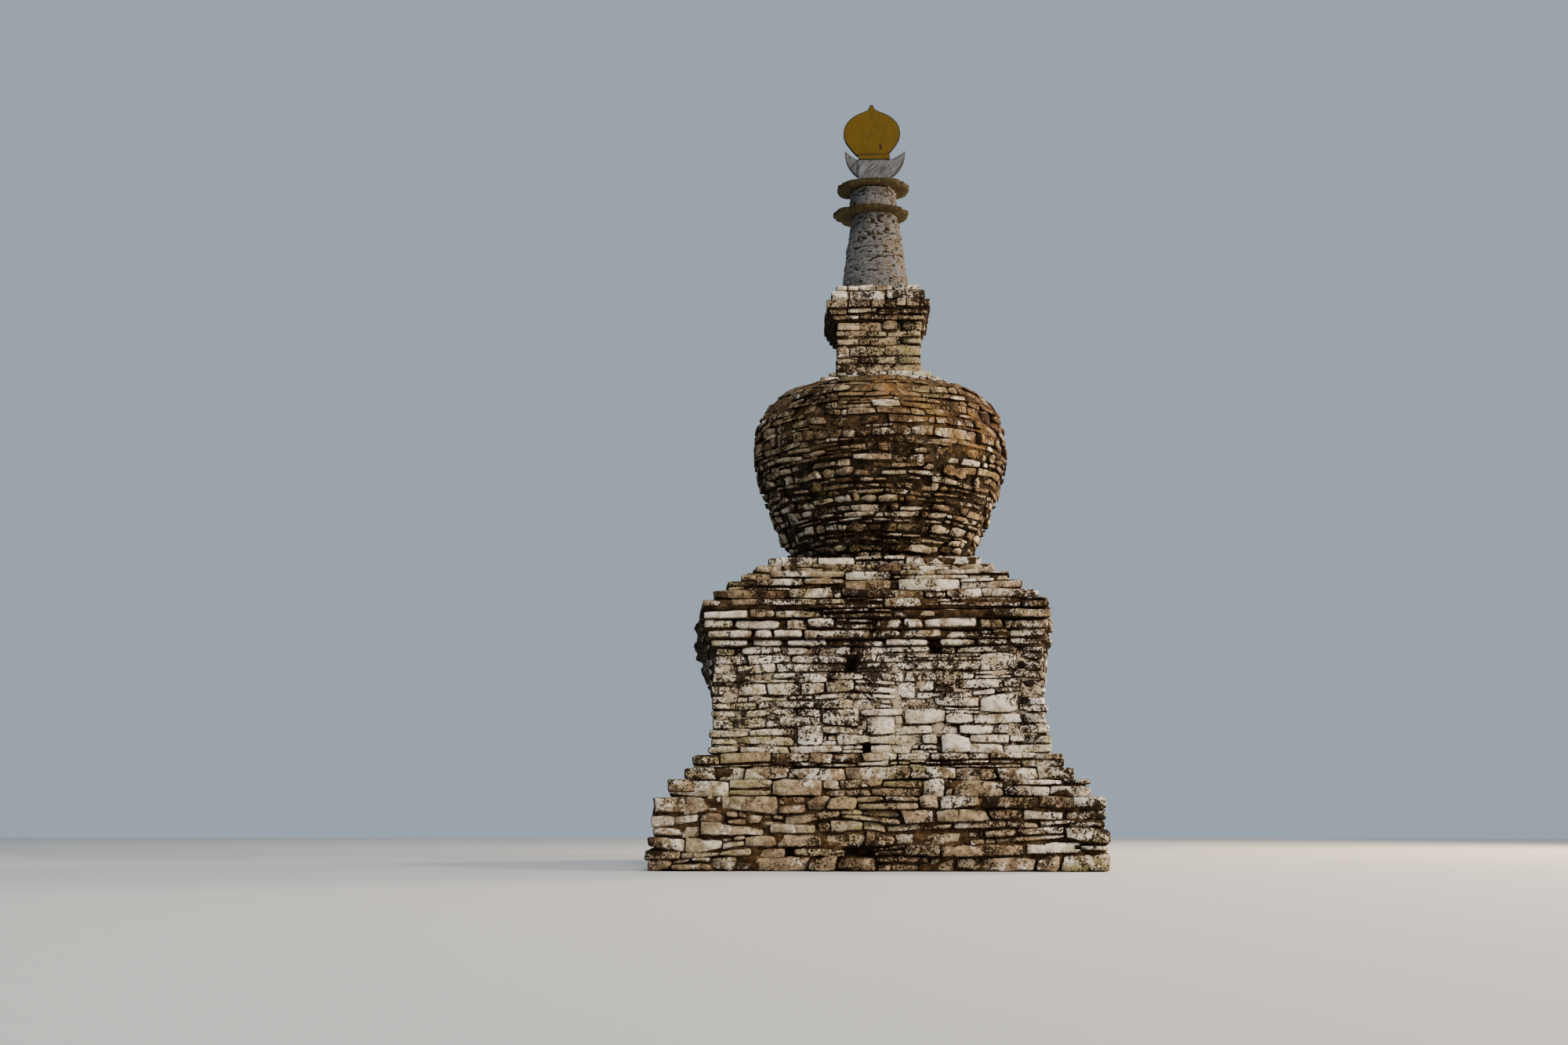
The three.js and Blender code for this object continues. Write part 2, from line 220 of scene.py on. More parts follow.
def stone_tree():
    tree = bpy.data.node_groups.new("laid stones", "GeometryNodeTree")
    for name, kind in STONE_INPUTS.items():
        tree.interface.new_socket(name, in_out="INPUT", socket_type="NodeSocket" + kind)
    tree.interface.new_socket("Masonry", in_out="OUTPUT", socket_type="NodeSocketGeometry")
    given = {s.name: Wire(s) for s in add(tree, "NodeGroupInput").outputs}

    # one small cube on each point
    counts = {"Vertices X": given["Columns"], "Vertices Y": 3, "Vertices Z": given["Rows"]}
    cube = wire(tree, "GeometryNodeMeshCube", {"Size": (2, 2, 2), **counts})
    position = wire(tree, "GeometryNodeInputPosition")
    cube = store(cube, "cell", position)
    points = store(given["Stones"], "centre", position)
    stones = wire(tree, "GeometryNodeInstanceOnPoints", {"Points": points, "Instance": cube})
    stones = wire(tree, "GeometryNodeRealizeInstances", {"Geometry": stones})

    # its own coordinates, in metres from its middle
    cell = split(read(tree, "cell"))
    half = split(read(tree, "size") * 0.5)
    rounding = maths("MINIMUM", given["Rounding"], half[2] * MOST_ROUNDING)
    x, flat_x = ringed(cell[0], given["Columns"], half[0], rounding)
    z, flat_z = ringed(cell[2], given["Rows"], half[2], rounding)
    front = (maths("MINIMUM", cell[1], 0.0) + 1.0) * rounding
    back = maths("MAXIMUM", cell[1], 0.0) * (half[1] * 2.0 - rounding)
    y = front + back - half[1]

    # round the edges: what lies outside the inner block is pulled to a set distance from it
    inner_x = clamp_to(x, half[0] - rounding)
    inner_z = clamp_to(z, half[2] - rounding)
    inner = combine(inner_x, maths("MAXIMUM", y, rounding - half[1]), inner_z)
    outward = maths("NORMALIZE", combine(x, y, z) - inner)
    x, y, z = split(inner + outward * rounding)

    # worn ends, a wedge shape, ends cut aslant, a tilt on its bed, and the batter of the wall
    wedge, tilt, open_end = split(read(tree, "cut"))
    slant_left, slant_right, taper = split(read(tree, "ends"))
    along = x / half[0]
    from_end = half[0] - maths("ABSOLUTE", x)
    worn = maths("POWER", maths("MAXIMUM", 1.0 - from_end / WORN_LENGTH, 0.0), 2.0) * taper
    swell = (wedge * along + 1.0) * (1.0 - worn)
    y = y - read(tree, "lean", "FLOAT") * z + worn * half[2] * END_FALL
    right_share = along * 0.5 + 0.5
    slant = slant_right * right_share + slant_left * (1.0 - right_share)
    slanted = combine(slant * z + x, y, tilt * x + z * swell)
    turn = {"Vector": slanted, "Angle": read(tree, "yaw", "FLOAT")}
    place = read(tree, "centre") + wire(tree, "ShaderNodeVectorRotate", turn, rotation_type="Z_AXIS")

    # lumps, other ones on each stone and lower on a thin one
    own_seed = read(tree, "seed", "FLOAT") * SEED_STEP + given["Seed"]
    shifted = place + combine(own_seed, own_seed, 0.0)
    lumps = cloud(shifted, 1.0 / given["Lump size"], 4.0, 0.75, "Color") - (0.5, 0.5, 0.5)
    height = given["Lump height"] * 2.0 * maths("MINIMUM", half[2] / FULL_LUMPS, MOST_LUMPS)
    x, y, z = split(place + lumps * height)
    place = combine(x, y, maths("MAXIMUM", z, 0.0))
    stones = wire(tree, "GeometryNodeSetPosition", {"Geometry": stones, "Position": place})

    # marks for the paint; a corner stone's end and a tread's top are seen too and count as faces
    end = maths("GREATER_THAN", cell[0] * open_end, AT_END)
    top = maths("GREATER_THAN", cell[2] * read(tree, "cap", "FLOAT"), AT_END)
    flat = maths("MAXIMUM", flat_x, end) * maths("MAXIMUM", flat_z, top)
    stones = store(stones, "flat", flat, "FLOAT")
    inside = maths("MINIMUM", cell[1] + 1.0, 1.0) * (1.0 - maths("MAXIMUM", end, top))
    stones = store(stones, "inside", inside, "FLOAT")
    for name in USED_UP:
        stones = wire(tree, "GeometryNodeRemoveAttribute", {"Geometry": stones, "Name": name})
    stones = wire(tree, "GeometryNodeSetShadeSmooth", {"Geometry": stones})
    stones = wire(tree, "GeometryNodeSetMaterial", {"Geometry": stones, "Material": given["Stone"]})

    # the core behind them
    core = wire(tree, "GeometryNodeObjectInfo", {"Object": given["Core"]}, "Geometry")
    core = wire(tree, "GeometryNodeSetMaterial", {"Geometry": core, "Material": given["Core paint"]})
    both = add(tree, "GeometryNodeJoinGeometry")
    for part in (core, stones):
        tree.links.new(part.socket, both.inputs[0])
    add(tree, "NodeGroupOutput", {"Masonry": Wire(both.outputs[0])})
    return tree


STONES = stone_tree()
print("stone tree:", len(STONES.nodes), "nodes")

# %% [markdown]
# A mason lays to a line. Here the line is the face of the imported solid: a ray sent in from
# outside finds it at any height, so the stones follow the plinth's batter, the throne's
# bulging side walls and the dome's curve without any of it being typed twice. A square
# course has four sides between its corner lines. A round one has a single closed side.

# %% Sides to lay stones against
RAY_START = 0.6  # how far outside the face a ray starts
ROUND_RAY_START = 2.0  # and how far from the axis, where the face is round
EDGE_MARGIN = 0.0015  # a ray stays this far inside the solid's top and bottom
Y_FIRST = 1000  # makes y count before x where a corner is looked for
SQUARE_CORNERS = ((-1, -1), (1, -1), (1, 1), (-1, 1))  # front left first, anticlockwise

Side = collections.namedtuple("Side", "length place face outward")


def clamp(value, low, high):
    return min(max(value, low), high)


def compass(angle):
    return Vector((math.cos(angle), math.sin(angle), 0))


@functools.cache
def solid_of(node):
    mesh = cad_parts[node].data
    return BVHTree.FromPolygons([v.co for v in mesh.vertices], [p.vertices[:] for p in mesh.polygons])


def corners_at(node, z):
    low, high = boxes[node]
    spots = [v.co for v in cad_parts[node].data.vertices]
    found = []
    for side_x, side_y in SQUARE_CORNERS:
        ends = []
        for level in (low.z, high.z):
            ring = [p for p in spots if abs(p.z - level) < EDGE_MARGIN]
            ends.append(max(ring, key=lambda p: Y_FIRST * side_y * p.y + side_x * p.x))
        found.append(ends[0].lerp(ends[1], (z - low.z) / (high.z - low.z)))
    return found


def hit_from(node, origin, outward, height):
    """Where a ray from outside meets the solid at a height, or nothing."""
    low, high = boxes[node]
    level = clamp(height, low.z + EDGE_MARGIN, high.z - EDGE_MARGIN)
    return solid_of(node).ray_cast(Vector((origin.x, origin.y, level)), -outward)[0]


def flat_side(node, start, end):
    along = (end - start).normalized()
    outward = Vector((along.y, -along.x, 0))

    def place(s):
        return start + along * s

    def face(s, height):
        hit = hit_from(node, place(s) + outward * RAY_START, outward, height)
        return hit or Vector((*place(s).xy, height))

    return Side((end - start).length, place, face, outward=lambda s: outward)


def square_sides(node, z):
    corners = corners_at(node, z)
    return [flat_side(node, *ends) for ends in zip(corners, corners[1:] + corners[:1])]


def round_side(node, z):
    axis = sum(boxes[node], Vector()) / 2

    def reach(angle, height):
        outward = compass(angle)
        return hit_from(node, axis + outward * ROUND_RAY_START, outward, height)

    radius = (reach(0, z).xy - axis.xy).length
    return Side(
        length=2 * math.pi * radius,
        place=lambda s: Vector((*(axis + compass(s / radius) * radius).xy, z)),
        face=lambda s, height: reach(s / radius, height),
        outward=lambda s: compass(s / radius),
    )


# %% [markdown]
# Now the laying itself. Each course lies between two bed lines that wander a little, as
# beds of uncut stone do. Along it, stones of uneven length are set so that their joints
# miss the joints below where they can. The corner stones of one course run along the
# front, and those of the next along the side, which ties the corner. Here and there a
# thick stone takes two courses, and elsewhere thin ones share a course. On the front some
# stones are named, since they stand out there. They are laid first, and a few holes are
# kept free. Random numbers come from a seeded source for each piece, so the wall is the
# same every time it is built.

# %% Laying courses
BED_WAVE = 2.8  # waves of a bed line per metre
BED_CHANGE = 0.5  # how soon the waves change from one bed to the next
BED_STRAY = 0.26  # how far a bed strays from an even spacing, in courses
SHORTEST = 0.045  # the shortest and the thinnest stone that is laid
THINNEST = 0.012
LONGEST = 2.4  # the longest one, in usual lengths
LONG_REST = 1.55  # a rest of a course that is longer, in usual lengths, is divided again
SHORT_REST = 0.5  # and one that is shorter joins the stone before it
TRIES = 3
CLEAR = 0.05  # a joint this far from those below is clear of them
LOST_LENGTH = 0.6  # shorter stones, in usual lengths, are lost altogether, longer ones sink
TALL_LENGTH = 1.2  # only shorter stones take two courses
SUNK = 0.024  # a full recess
SUNK_SHARES = (0.4, 0.8)  # how much of it a stone sinks
THIN_SHARES = (0.38, 0.62)  # where a course is divided into thin stones, upwards
CUT_SHARES = (0.3, 0.7)  # and along it
PROBE = 0.15  # a stone's face is measured this share in from its ends
STEEPEST = 1.1  # the most that a face leans
DEPTH_SHARES = (0.9, 1.1)  # how much depths differ
PROUD_LIMITS = (-1.3, 1.5)  # how far the most sunk and the most proud stone go, in usual raggedness
SLANT_LIMITS = (-1.5, 1.5)  # how far ends are cut aslant at most, in usual slants
TAPER_SHARES = (0.3, 1.5)  # how much tapers differ
BED_SLIP = 0.003  # how far a stone lies off the middle of its bed
CORNER_SLIP = 0.006  # and a corner stone off its corner
NAMED_PROUD = 0.005  # how far a named stone stands out
NAMED_RAGGED = 0.004
HOLE_SHARE = 0.3  # a course with this share of its thickness in a hole is left open
FOOT_SHARE = 0.52  # a rule's changes for its foot hold up to about this share of the height
FOOT_STRAY = 0.12  # more or less

Slab = collections.namedtuple("Slab", "x_from x_to z courses tint wash grime", defaults=(1, 0.5, 0.5, 0.4))
WhiteSlab = functools.partial(Slab, wash=0.90, grime=0.42)


def bed_lines(low, high, rule, rng):
    seed = rng.uniform(0, 50)
    count = max(1, round((high - low) / rule["course"]))
    shares = [0.0]
    shares += [(k + rng.uniform(-BED_STRAY, BED_STRAY)) / count for k in range(1, count)]
    shares += [1.0]

    def bed(k, place):
        loose = math.sin(math.pi * shares[k]) ** 0.5 if 0 < k < count else 0.0
        wave = noise.noise(Vector((place.x * BED_WAVE, place.y * BED_WAVE, BED_CHANGE * k + seed)))
        stray = rule["wander"] * wave + rule["rise"] * place.x
        return low + (high - low) * shares[k] + loose * stray

    return count, bed


def line_of(bed, k, side):
    return lambda s: bed(k, side.place(s))


def joint_places(start, end, rule, joints_below, rng):
    def clear(place):
        return min([abs(place - joint) for joint in joints_below] + [CLEAR])

    length = rule["length"]
    places = [start]
    while end - places[-1] > LONG_REST * length:
        last = places[-1]
        tries = [last + length * math.exp(rng.gauss(0, rule["spread"])) for _ in range(TRIES)]
        tries = [clamp(t, last + SHORTEST, last + LONGEST * length) for t in tries]
        places.append(max(tries, key=clear))
    if end - places[-1] < SHORT_REST * length and len(places) > 1:
        places.pop()
    return places + [end]


def free_runs(start, end, taken):
    runs = []
    for low, high in sorted(taken):
        runs.append((start, low))
        start = max(start, high)
    runs.append((start, end))
    return [run for run in runs if run[1] - run[0] > SHORTEST]


def one_stone(side, start, end, low, high, rule, rng, slants=(0.0, 0.0), recess=0.0):
    """A stone between two bed lines, or none where they come too close."""
    joint = rng.uniform(*rule["joint"])
    left, right = (high(s) - low(s) for s in (start, end))
    thickness = (left + right) / 2 - rng.uniform(*rule["joint"])
    if thickness < THINNEST:
        return []
    bottom, top = ((line(start) + line(end)) / 2 for line in (low, high))
    middle = (start + end) / 2
    probes = [middle + (s - middle) * (1 - PROBE) for s in (start, end)]
    first, last = (side.face(s, (bottom + top) / 2) for s in probes)
    along = last - first
    yaw = math.atan2(along.y, along.x) + rng.gauss(0, rule["turn"])
    outward = Vector((math.sin(yaw), -math.cos(yaw), 0))
    batter = (side.face(middle, top) - side.face(middle, bottom)).dot(outward) / (top - bottom)
    batter = clamp(batter * rule["batter"], -STEEPEST, STEEPEST) + rng.gauss(0, rule["turn"] * 2)
    depth = rule["depth"] * rng.uniform(*DEPTH_SHARES)
    proud = rule["proud"] * clamp(rng.gauss(0, 1), *PROUD_LIMITS) - recess
    centre = (first + last) / 2 + outward * (proud - depth / 2)
    centre.z = (bottom + top) / 2 + rng.gauss(0, BED_SLIP)
    slope = (low(end) - low(start) + high(end) - high(start)) / 2 / (end - start)
    wedge = (right - left) / (right + left) + rng.gauss(0, rule["wedge"])
    stone = {"centre": centre, "size": (end - start - joint, depth, thickness), "yaw": yaw, "lean": batter}
    stone["cut"] = [wedge, slope + rng.gauss(0, rule["tilt"]), 0.0]
    stone["ends"] = (*slants, rule["taper"] * rng.uniform(*TAPER_SHARES))
    stone["seed"] = rng.random()
    stone["tint"] = 0.5 + rng.gauss(0, rule["tint"])
    return [dict(stone, recess=recess, own=None)]


def lay_run(side, k, start, end, bed, count, taken, joints_below, rule, rng):
    """One course of one side: its stones, and where its joints are."""
    laid = []
    joints = []
    low, high = (line_of(bed, n, side) for n in (k, k + 1))

    def lay(*ends_and_lines, **more):
        laid.extend(one_stone(side, *ends_and_lines, rule, rng, **more))

    for run in free_runs(start, end, taken[k]):
        places = joint_places(*run, rule, joints_below, rng)
        joints += places
        slants = [rule["slant"] * clamp(rng.gauss(0, 1), *SLANT_LIMITS) for _ in places]
        slants[0] = slants[-1] = 0.0
        for i, (left, right) in enumerate(zip(places, places[1:])):
            inner = left > start and right < end
            lengths = (right - left) / rule["length"]
            chance = rng.random()
            tall = chance < rule["missing"] + rule["tall"] and lengths < TALL_LENGTH and k + 2 <= count
            if inner and chance < rule["missing"]:
                if lengths >= LOST_LENGTH:
                    recess = rng.uniform(*SUNK_SHARES) * SUNK
                    lay(left, right, low, high, slants=slants[i : i + 2], recess=recess)
            elif inner and tall:
                taken[k + 1].append((left, right))
                lay(left, right, low, line_of(bed, k + 2, side))
            elif inner and chance > 1 - rule["thin"]:
                share = rng.uniform(*THIN_SHARES)
                cut = left + (right - left) * rng.uniform(*CUT_SHARES)
                half = lambda s: low(s) + (high(s) - low(s)) * share
                lay(left, right, low, half)
                lay(left, cut, half, high)
                lay(cut, right, half, high)
            else:
                lay(left, right, low, high, slants=slants[i : i + 2])
    return laid, joints


def lay_slabs(node, side, bed, count, taken, rule, rng):
    """Lays the named stones of the front first, and keeps their places and the holes free."""
    low, high = boxes[node]
    corner = side.place(0).x
    even_rule = dict(rule, proud=NAMED_RAGGED)
    laid = []
    for slab in rule["slabs"]:
        share = (slab.z - low.z) / (high.z - low.z)
        k = clamp(round(share * count - slab.courses / 2), 0, count - slab.courses)
        ends = (slab.x_from - corner, slab.x_to - corner)
        for course in range(k, k + slab.courses):
            taken[course].append(ends)
        lines = [line_of(bed, n, side) for n in (k, k + slab.courses)]
        for stone in one_stone(side, *ends, *lines, even_rule, rng, recess=-NAMED_PROUD):
            laid.append(dict(stone, tint=slab.tint, own=(slab.wash, slab.grime)))
    for x, z, width, height in rule["holes"]:
        for k in range(count):
            foot, top = (bed(n, Vector((x, low.y, z))) for n in (k, k + 1))
            if min(top, z + height / 2) - max(foot, z - height / 2) > HOLE_SHARE * (top - foot):
                taken[k].append((x - width / 2 - corner, x + width / 2 - corner))
    return laid


def sides_of(node, rule, z):
    return [round_side(node, z)] if rule["round"] else square_sides(node, z)


def lay_masonry(node, rule):
    rng = random.Random(node + rule["draw"])
    low, high = boxes[node]
    count, bed = bed_lines(low.z, high.z, rule, rng)
    side_count = 1 if rule["round"] else 4
    taken = [[[] for _ in range(count + 1)] for _ in range(side_count)]
    below = [[] for _ in range(side_count)]
    laid = []
    if rule["slabs"] or rule["holes"]:
        front = square_sides(node, (low.z + high.z) / 2)[0]
        laid += lay_slabs(node, front, bed, count, taken[0], rule, rng)
    for k in range(count):
        share = (k + 0.5) / count
        this_rule = dict(rule)
        if rule["foot"] and share < FOOT_SHARE + rng.uniform(-FOOT_STRAY, FOOT_STRAY):
            this_rule.update(rule["foot"])
        if k == count - 1:
            this_rule["depth"] = rule["cap_depth"]
        for i, side in enumerate(sides_of(node, rule, low.z + (high.z - low.z) * share)):
            ties = rule["round"] or (k + i) % 2 == 0
            start = -rng.uniform(0, CORNER_SLIP) if ties else this_rule["depth"]
            end = side.length if rule["round"] else side.length - start
            if rule["only"] not in (None, i):
                continue
            stones, below[i] = lay_run(side, k, start, end, bed, count, taken[i], below[i], this_rule, rng)
            if ties and not rule["round"] and stones:
                stones[0]["cut"][2] = -1.0
                stones[-1]["cut"][2] = 1.0
            laid += stones
    return laid


# %% [markdown]
# Between and behind the stones lies packed earth, or lime on the cone. Its body is a
# stack of rings: rays find the solid's face, and each point is drawn in from there by an
# uneven depth, so a joint or a lost stone shows something dark and solid instead of a
# hole. Where it comes forward the mark "wash" lets the brush reach it. The finished piece
# is one plain mesh: the tree is run, its result is taken with new_from_object, and the
# modifier is removed before the piece is given its place in the frame.

# %% Core and the finished piece
CORE_FOOT_GAP = 0.002  # the core starts this far above the foot of its solid
CORE_SHORTER = 0.010  # and is this much lower than the solid
HOLE_DEPTH = 0.07  # how much deeper the earth lies in a hole
HOLE_EDGE = 0.012  # it falls back this far outside the hole's edge
BARE_DEPTH = 1.9  # at this many times its usual depth the core carries no whitewash
LEAST_DEPTH = 0.05  # and it lies at least this share of its usual depth behind a face
CORNER_SHARE = 0.3  # the most of a side's length that its corners are drawn in


def hole_depth(rule, spot):
    """How much deeper the earth lies where the rule names a hole in the front."""
    for x, z, width, height in rule["holes"]:
        within = abs(spot.x - x) < width / 2 + HOLE_EDGE and abs(spot.z - z) < height / 2 + HOLE_EDGE
        if within and spot.y < 0:
            return HOLE_DEPTH
    return 0.0


def core_ring(node, rule, level, depth):
    """One ring round the solid, drawn in from its faces, and how deep each of its points lies."""
    low, high = boxes[node]
    widths = (math.pi * (high.x - low.x),) if rule["round"] else (high.x - low.x, high.y - low.y) * 2
    ring = []
    for side, width in zip(sides_of(node, rule, level), widths):
        count = max(3, round(width / rule["core_step"]))
        start = 0.0 if rule["round"] else min(depth, CORNER_SHARE * side.length)
        for i in range(count):
            s = start + (side.length - 2 * start) * (i + 0.5) / count
            spot = side.face(s, level)
            waves = Vector((spot.x, spot.y, spot.z * rule["core_flat"])) * rule["core_lump"]
            lump = max(1 + noise.noise(waves) * rule["core_rough"], LEAST_DEPTH)
            lump += hole_depth(rule, spot) / depth
            ring.append((spot - side.outward(s) * depth * lump, lump))
    return ring


def smooth_object(body, name, sharp_angle=180):
    mesh = bpy.data.meshes.new(name)
    body.to_mesh(mesh)
    body.free()
    mesh.shade_smooth()
    if sharp_angle < 180:
        mesh.set_sharp_from_angle(angle=math.radians(sharp_angle))
    return new_object(name, mesh)


def earth_core(node, rule):
    low, high = boxes[node]
    body = bmesh.new()
    count = max(2, round((high.z - low.z) / rule["core_step"]))
    washes = body.verts.layers.float.new("wash")
    rings = []
    for k in range(count + 1):
        share = k / count
        level = low.z + CORE_FOOT_GAP + (high.z - low.z - CORE_SHORTER) * share
        depth = rule["inset"][0] * (1 - share) + rule["inset"][1] * share
        ring = []
        for spot, lump in core_ring(node, rule, level, depth):
            vertex = body.verts.new((spot.x, spot.y, level))
            vertex[washes] = rule["core_wash"] * (BARE_DEPTH - lump)
            ring.append(vertex)
        rings.append(ring)
    for lower, upper in zip(rings, rings[1:]):
        for i in range(len(lower)):
            j = (i + 1) % len(lower)
            body.faces.new((lower[i], lower[j], upper[j], upper[i]))
    body.faces.new(list(reversed(rings[0])))
    body.faces.new(rings[-1])
    return smooth_object(body, "core of " + node)


def point_mesh(name, stones):
    mesh = bpy.data.meshes.new(name)
    mesh.from_pydata([stone["centre"] for stone in stones], [], [])
    for key in ("size", "cut", "ends"):
        values = [number for stone in stones for number in stone[key]]
        mesh.attributes.new(key, "FLOAT_VECTOR", "POINT").data.foreach_set("vector", values)
    for key in ("yaw", "lean", "cap", "seed", "tint", "wash", "grime"):
        values = [stone[key] for stone in stones]
        mesh.attributes.new(key, "FLOAT", "POINT").data.foreach_set("value", values)
    return mesh


def run_tree(piece, tree, inputs):
    modifier = piece.modifiers.new("made by rule", "NODES")
    modifier.node_group = tree
    for item in tree.interface.items_tree:
        if item.in_out == "INPUT" and item.name in inputs:
            modifier[item.identifier] = inputs[item.name]
    graph = bpy.context.evaluated_depsgraph_get()
    made = bpy.data.meshes.new_from_object(piece.evaluated_get(graph), depsgraph=graph)
    piece.modifiers.clear()
    piece.data = made
    made.name = piece.name


def triangles(mesh):
    return sum(len(p.vertices) - 2 for p in mesh.polygons)


def settle(piece, node):
    """Puts a finished piece in the frame: it rides on the one body and stands for its solid."""
    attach(piece, "root")
    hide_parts(node)
    print(piece.name, triangles(piece.data), "triangles")


# %% [markdown]
# The paint on a stone is built up in the order in which weather built it: the stone's own
# colour, which changes from stone to stone; mottling and grain; whitewash that clings to
# faces and has come off in flakes; ochre clay that rain has washed over it; a crust of
# lichen; black mould that spreads in fine specks from damp places; and earth in the joints.
# Light is painted in too: painted warm light on faces turned to the right, and painted shade
# on faces turned to the left and down. The masks read the marks that the tree left, the
# piece's Object coordinates in metres, and each stone's own seed, which shifts the pattern
# so that it breaks at a joint as it does in a real wall.

# %% Helpers for paint
def blend(factor, first, second):
    return wire(factor.tree, "ShaderNodeMix", (factor, first, second), data_type="RGBA")


def spread(value, low, high, to_low=0.0, to_high=1.0):
    """Stretches a value smoothly, so that low becomes to_low and high becomes to_high."""
    inputs = (value, low, high, to_low, to_high)
    return wire(value.tree, "ShaderNodeMapRange", inputs, interpolation_type="SMOOTHSTEP")


def cover(colour, other, value, low, high, most=1.0):
    """Lays another colour over the first: none where the value is low, most of it where it is high."""
    return blend(spread(value, low, high, 0.0, most), colour, other)


def mark(tree, name):
    return wire(tree, "ShaderNodeAttribute", out="Fac", attribute_name=name)


NOISE_RANGE = (0.30, 0.70)  # nearly all of a noise texture's values lie between these


def patchy(where, scale, detail, roughness):
    """Three clouds that have nothing to do with each other, each stretched to run from 0 to 1."""
    parts = split(cloud(where, scale, detail, roughness, "Color"))
    return [spread(part, *NOISE_RANGE) for part in parts]


def ramp(factor, colours):
    node = add(factor.tree, "ShaderNodeValToRGB", (factor,))
    stops = node.color_ramp.elements
    while len(stops) < len(colours):
        stops.new(0.5)
    for i, colour in enumerate(colours):
        stops[i].position = i / (len(colours) - 1)
        stops[i].color = (*colour, 1)
    return Wire(node.outputs["Color"])


def about(value, weight):
    """A noise value as a swing of plus or minus half the weight."""
    return (value - 0.5) * weight


def new_paint(name):
    """A material to wire, its tree, and the coordinates of its piece in metres."""
    paint = bpy.data.materials.new(name)
    paint.use_nodes = True
    tree = paint.node_tree
    tree.nodes.clear()
    return paint, tree, wire(tree, "ShaderNodeTexCoord", out="Object")


def finish_paint(paint, colour, roughness, height=None, distance=0.0):
    """Wires the shader of a paint, with a bump where a height is given."""
    inputs = {"Base Color": colour, "Roughness": roughness, "Specular IOR Level": 0.1}
    if height is not None:
        bump = {"Height": height, "Distance": distance, "Strength": 0.8}
        inputs["Normal"] = wire(paint.node_tree, "ShaderNodeBump", bump)
    shader = wire(paint.node_tree, "ShaderNodeBsdfPrincipled", inputs)
    add(paint.node_tree, "ShaderNodeOutputMaterial", {"Surface": shader})
    return paint


def facing(tree):
    """How far a face looks to the right, to the back and up, each from -1 to 1."""
    return split(wire(tree, "ShaderNodeNewGeometry", out="Normal"))


# %% Stone paint
# the earth in the joints, also used as painted shade on faces turned down
EARTH_AND_SHADE = (0.017, 0.0080, 0.0036, 1)
MOULD = (0.0130, 0.0064, 0.0026, 1)
WHITE = (0.76, 0.685, 0.58, 1)
STAINED_WHITE = (0.44, 0.355, 0.245, 1)
LICHEN = (0.31, 0.275, 0.100, 1)
MOSS = (0.055, 0.040, 0.017, 1)
OCHRE = (0.220, 0.112, 0.032, 1)
WARM_LIGHT_TINT = (1.16, 0.84, 0.56)  # painted warm light: the tint that a white coat takes where it faces a low warm sun


def dome_height(place):
    """Runs from -1 at the foot of the dome to 1 at its top."""
    low, high = boxes["dome"]
    middle = (low.z + high.z) / 2
    return (split(place)[2] - middle) / (high.z - middle)


def ochre_stain(colour, place, strength):
    """Ochre clay that has run over the upper right of the dome."""
    wide = patchy(place, 3.0, 4, 0.55)[0]
    fine = patchy(place, 24, 5, 0.7)[0]
    stain = dome_height(place) * 0.45 + split(place)[0] * 0.30 + about(wide, 1.0) + about(fine, 0.5)
    return cover(colour, OCHRE, stain, 0.55, 0.94, strength)


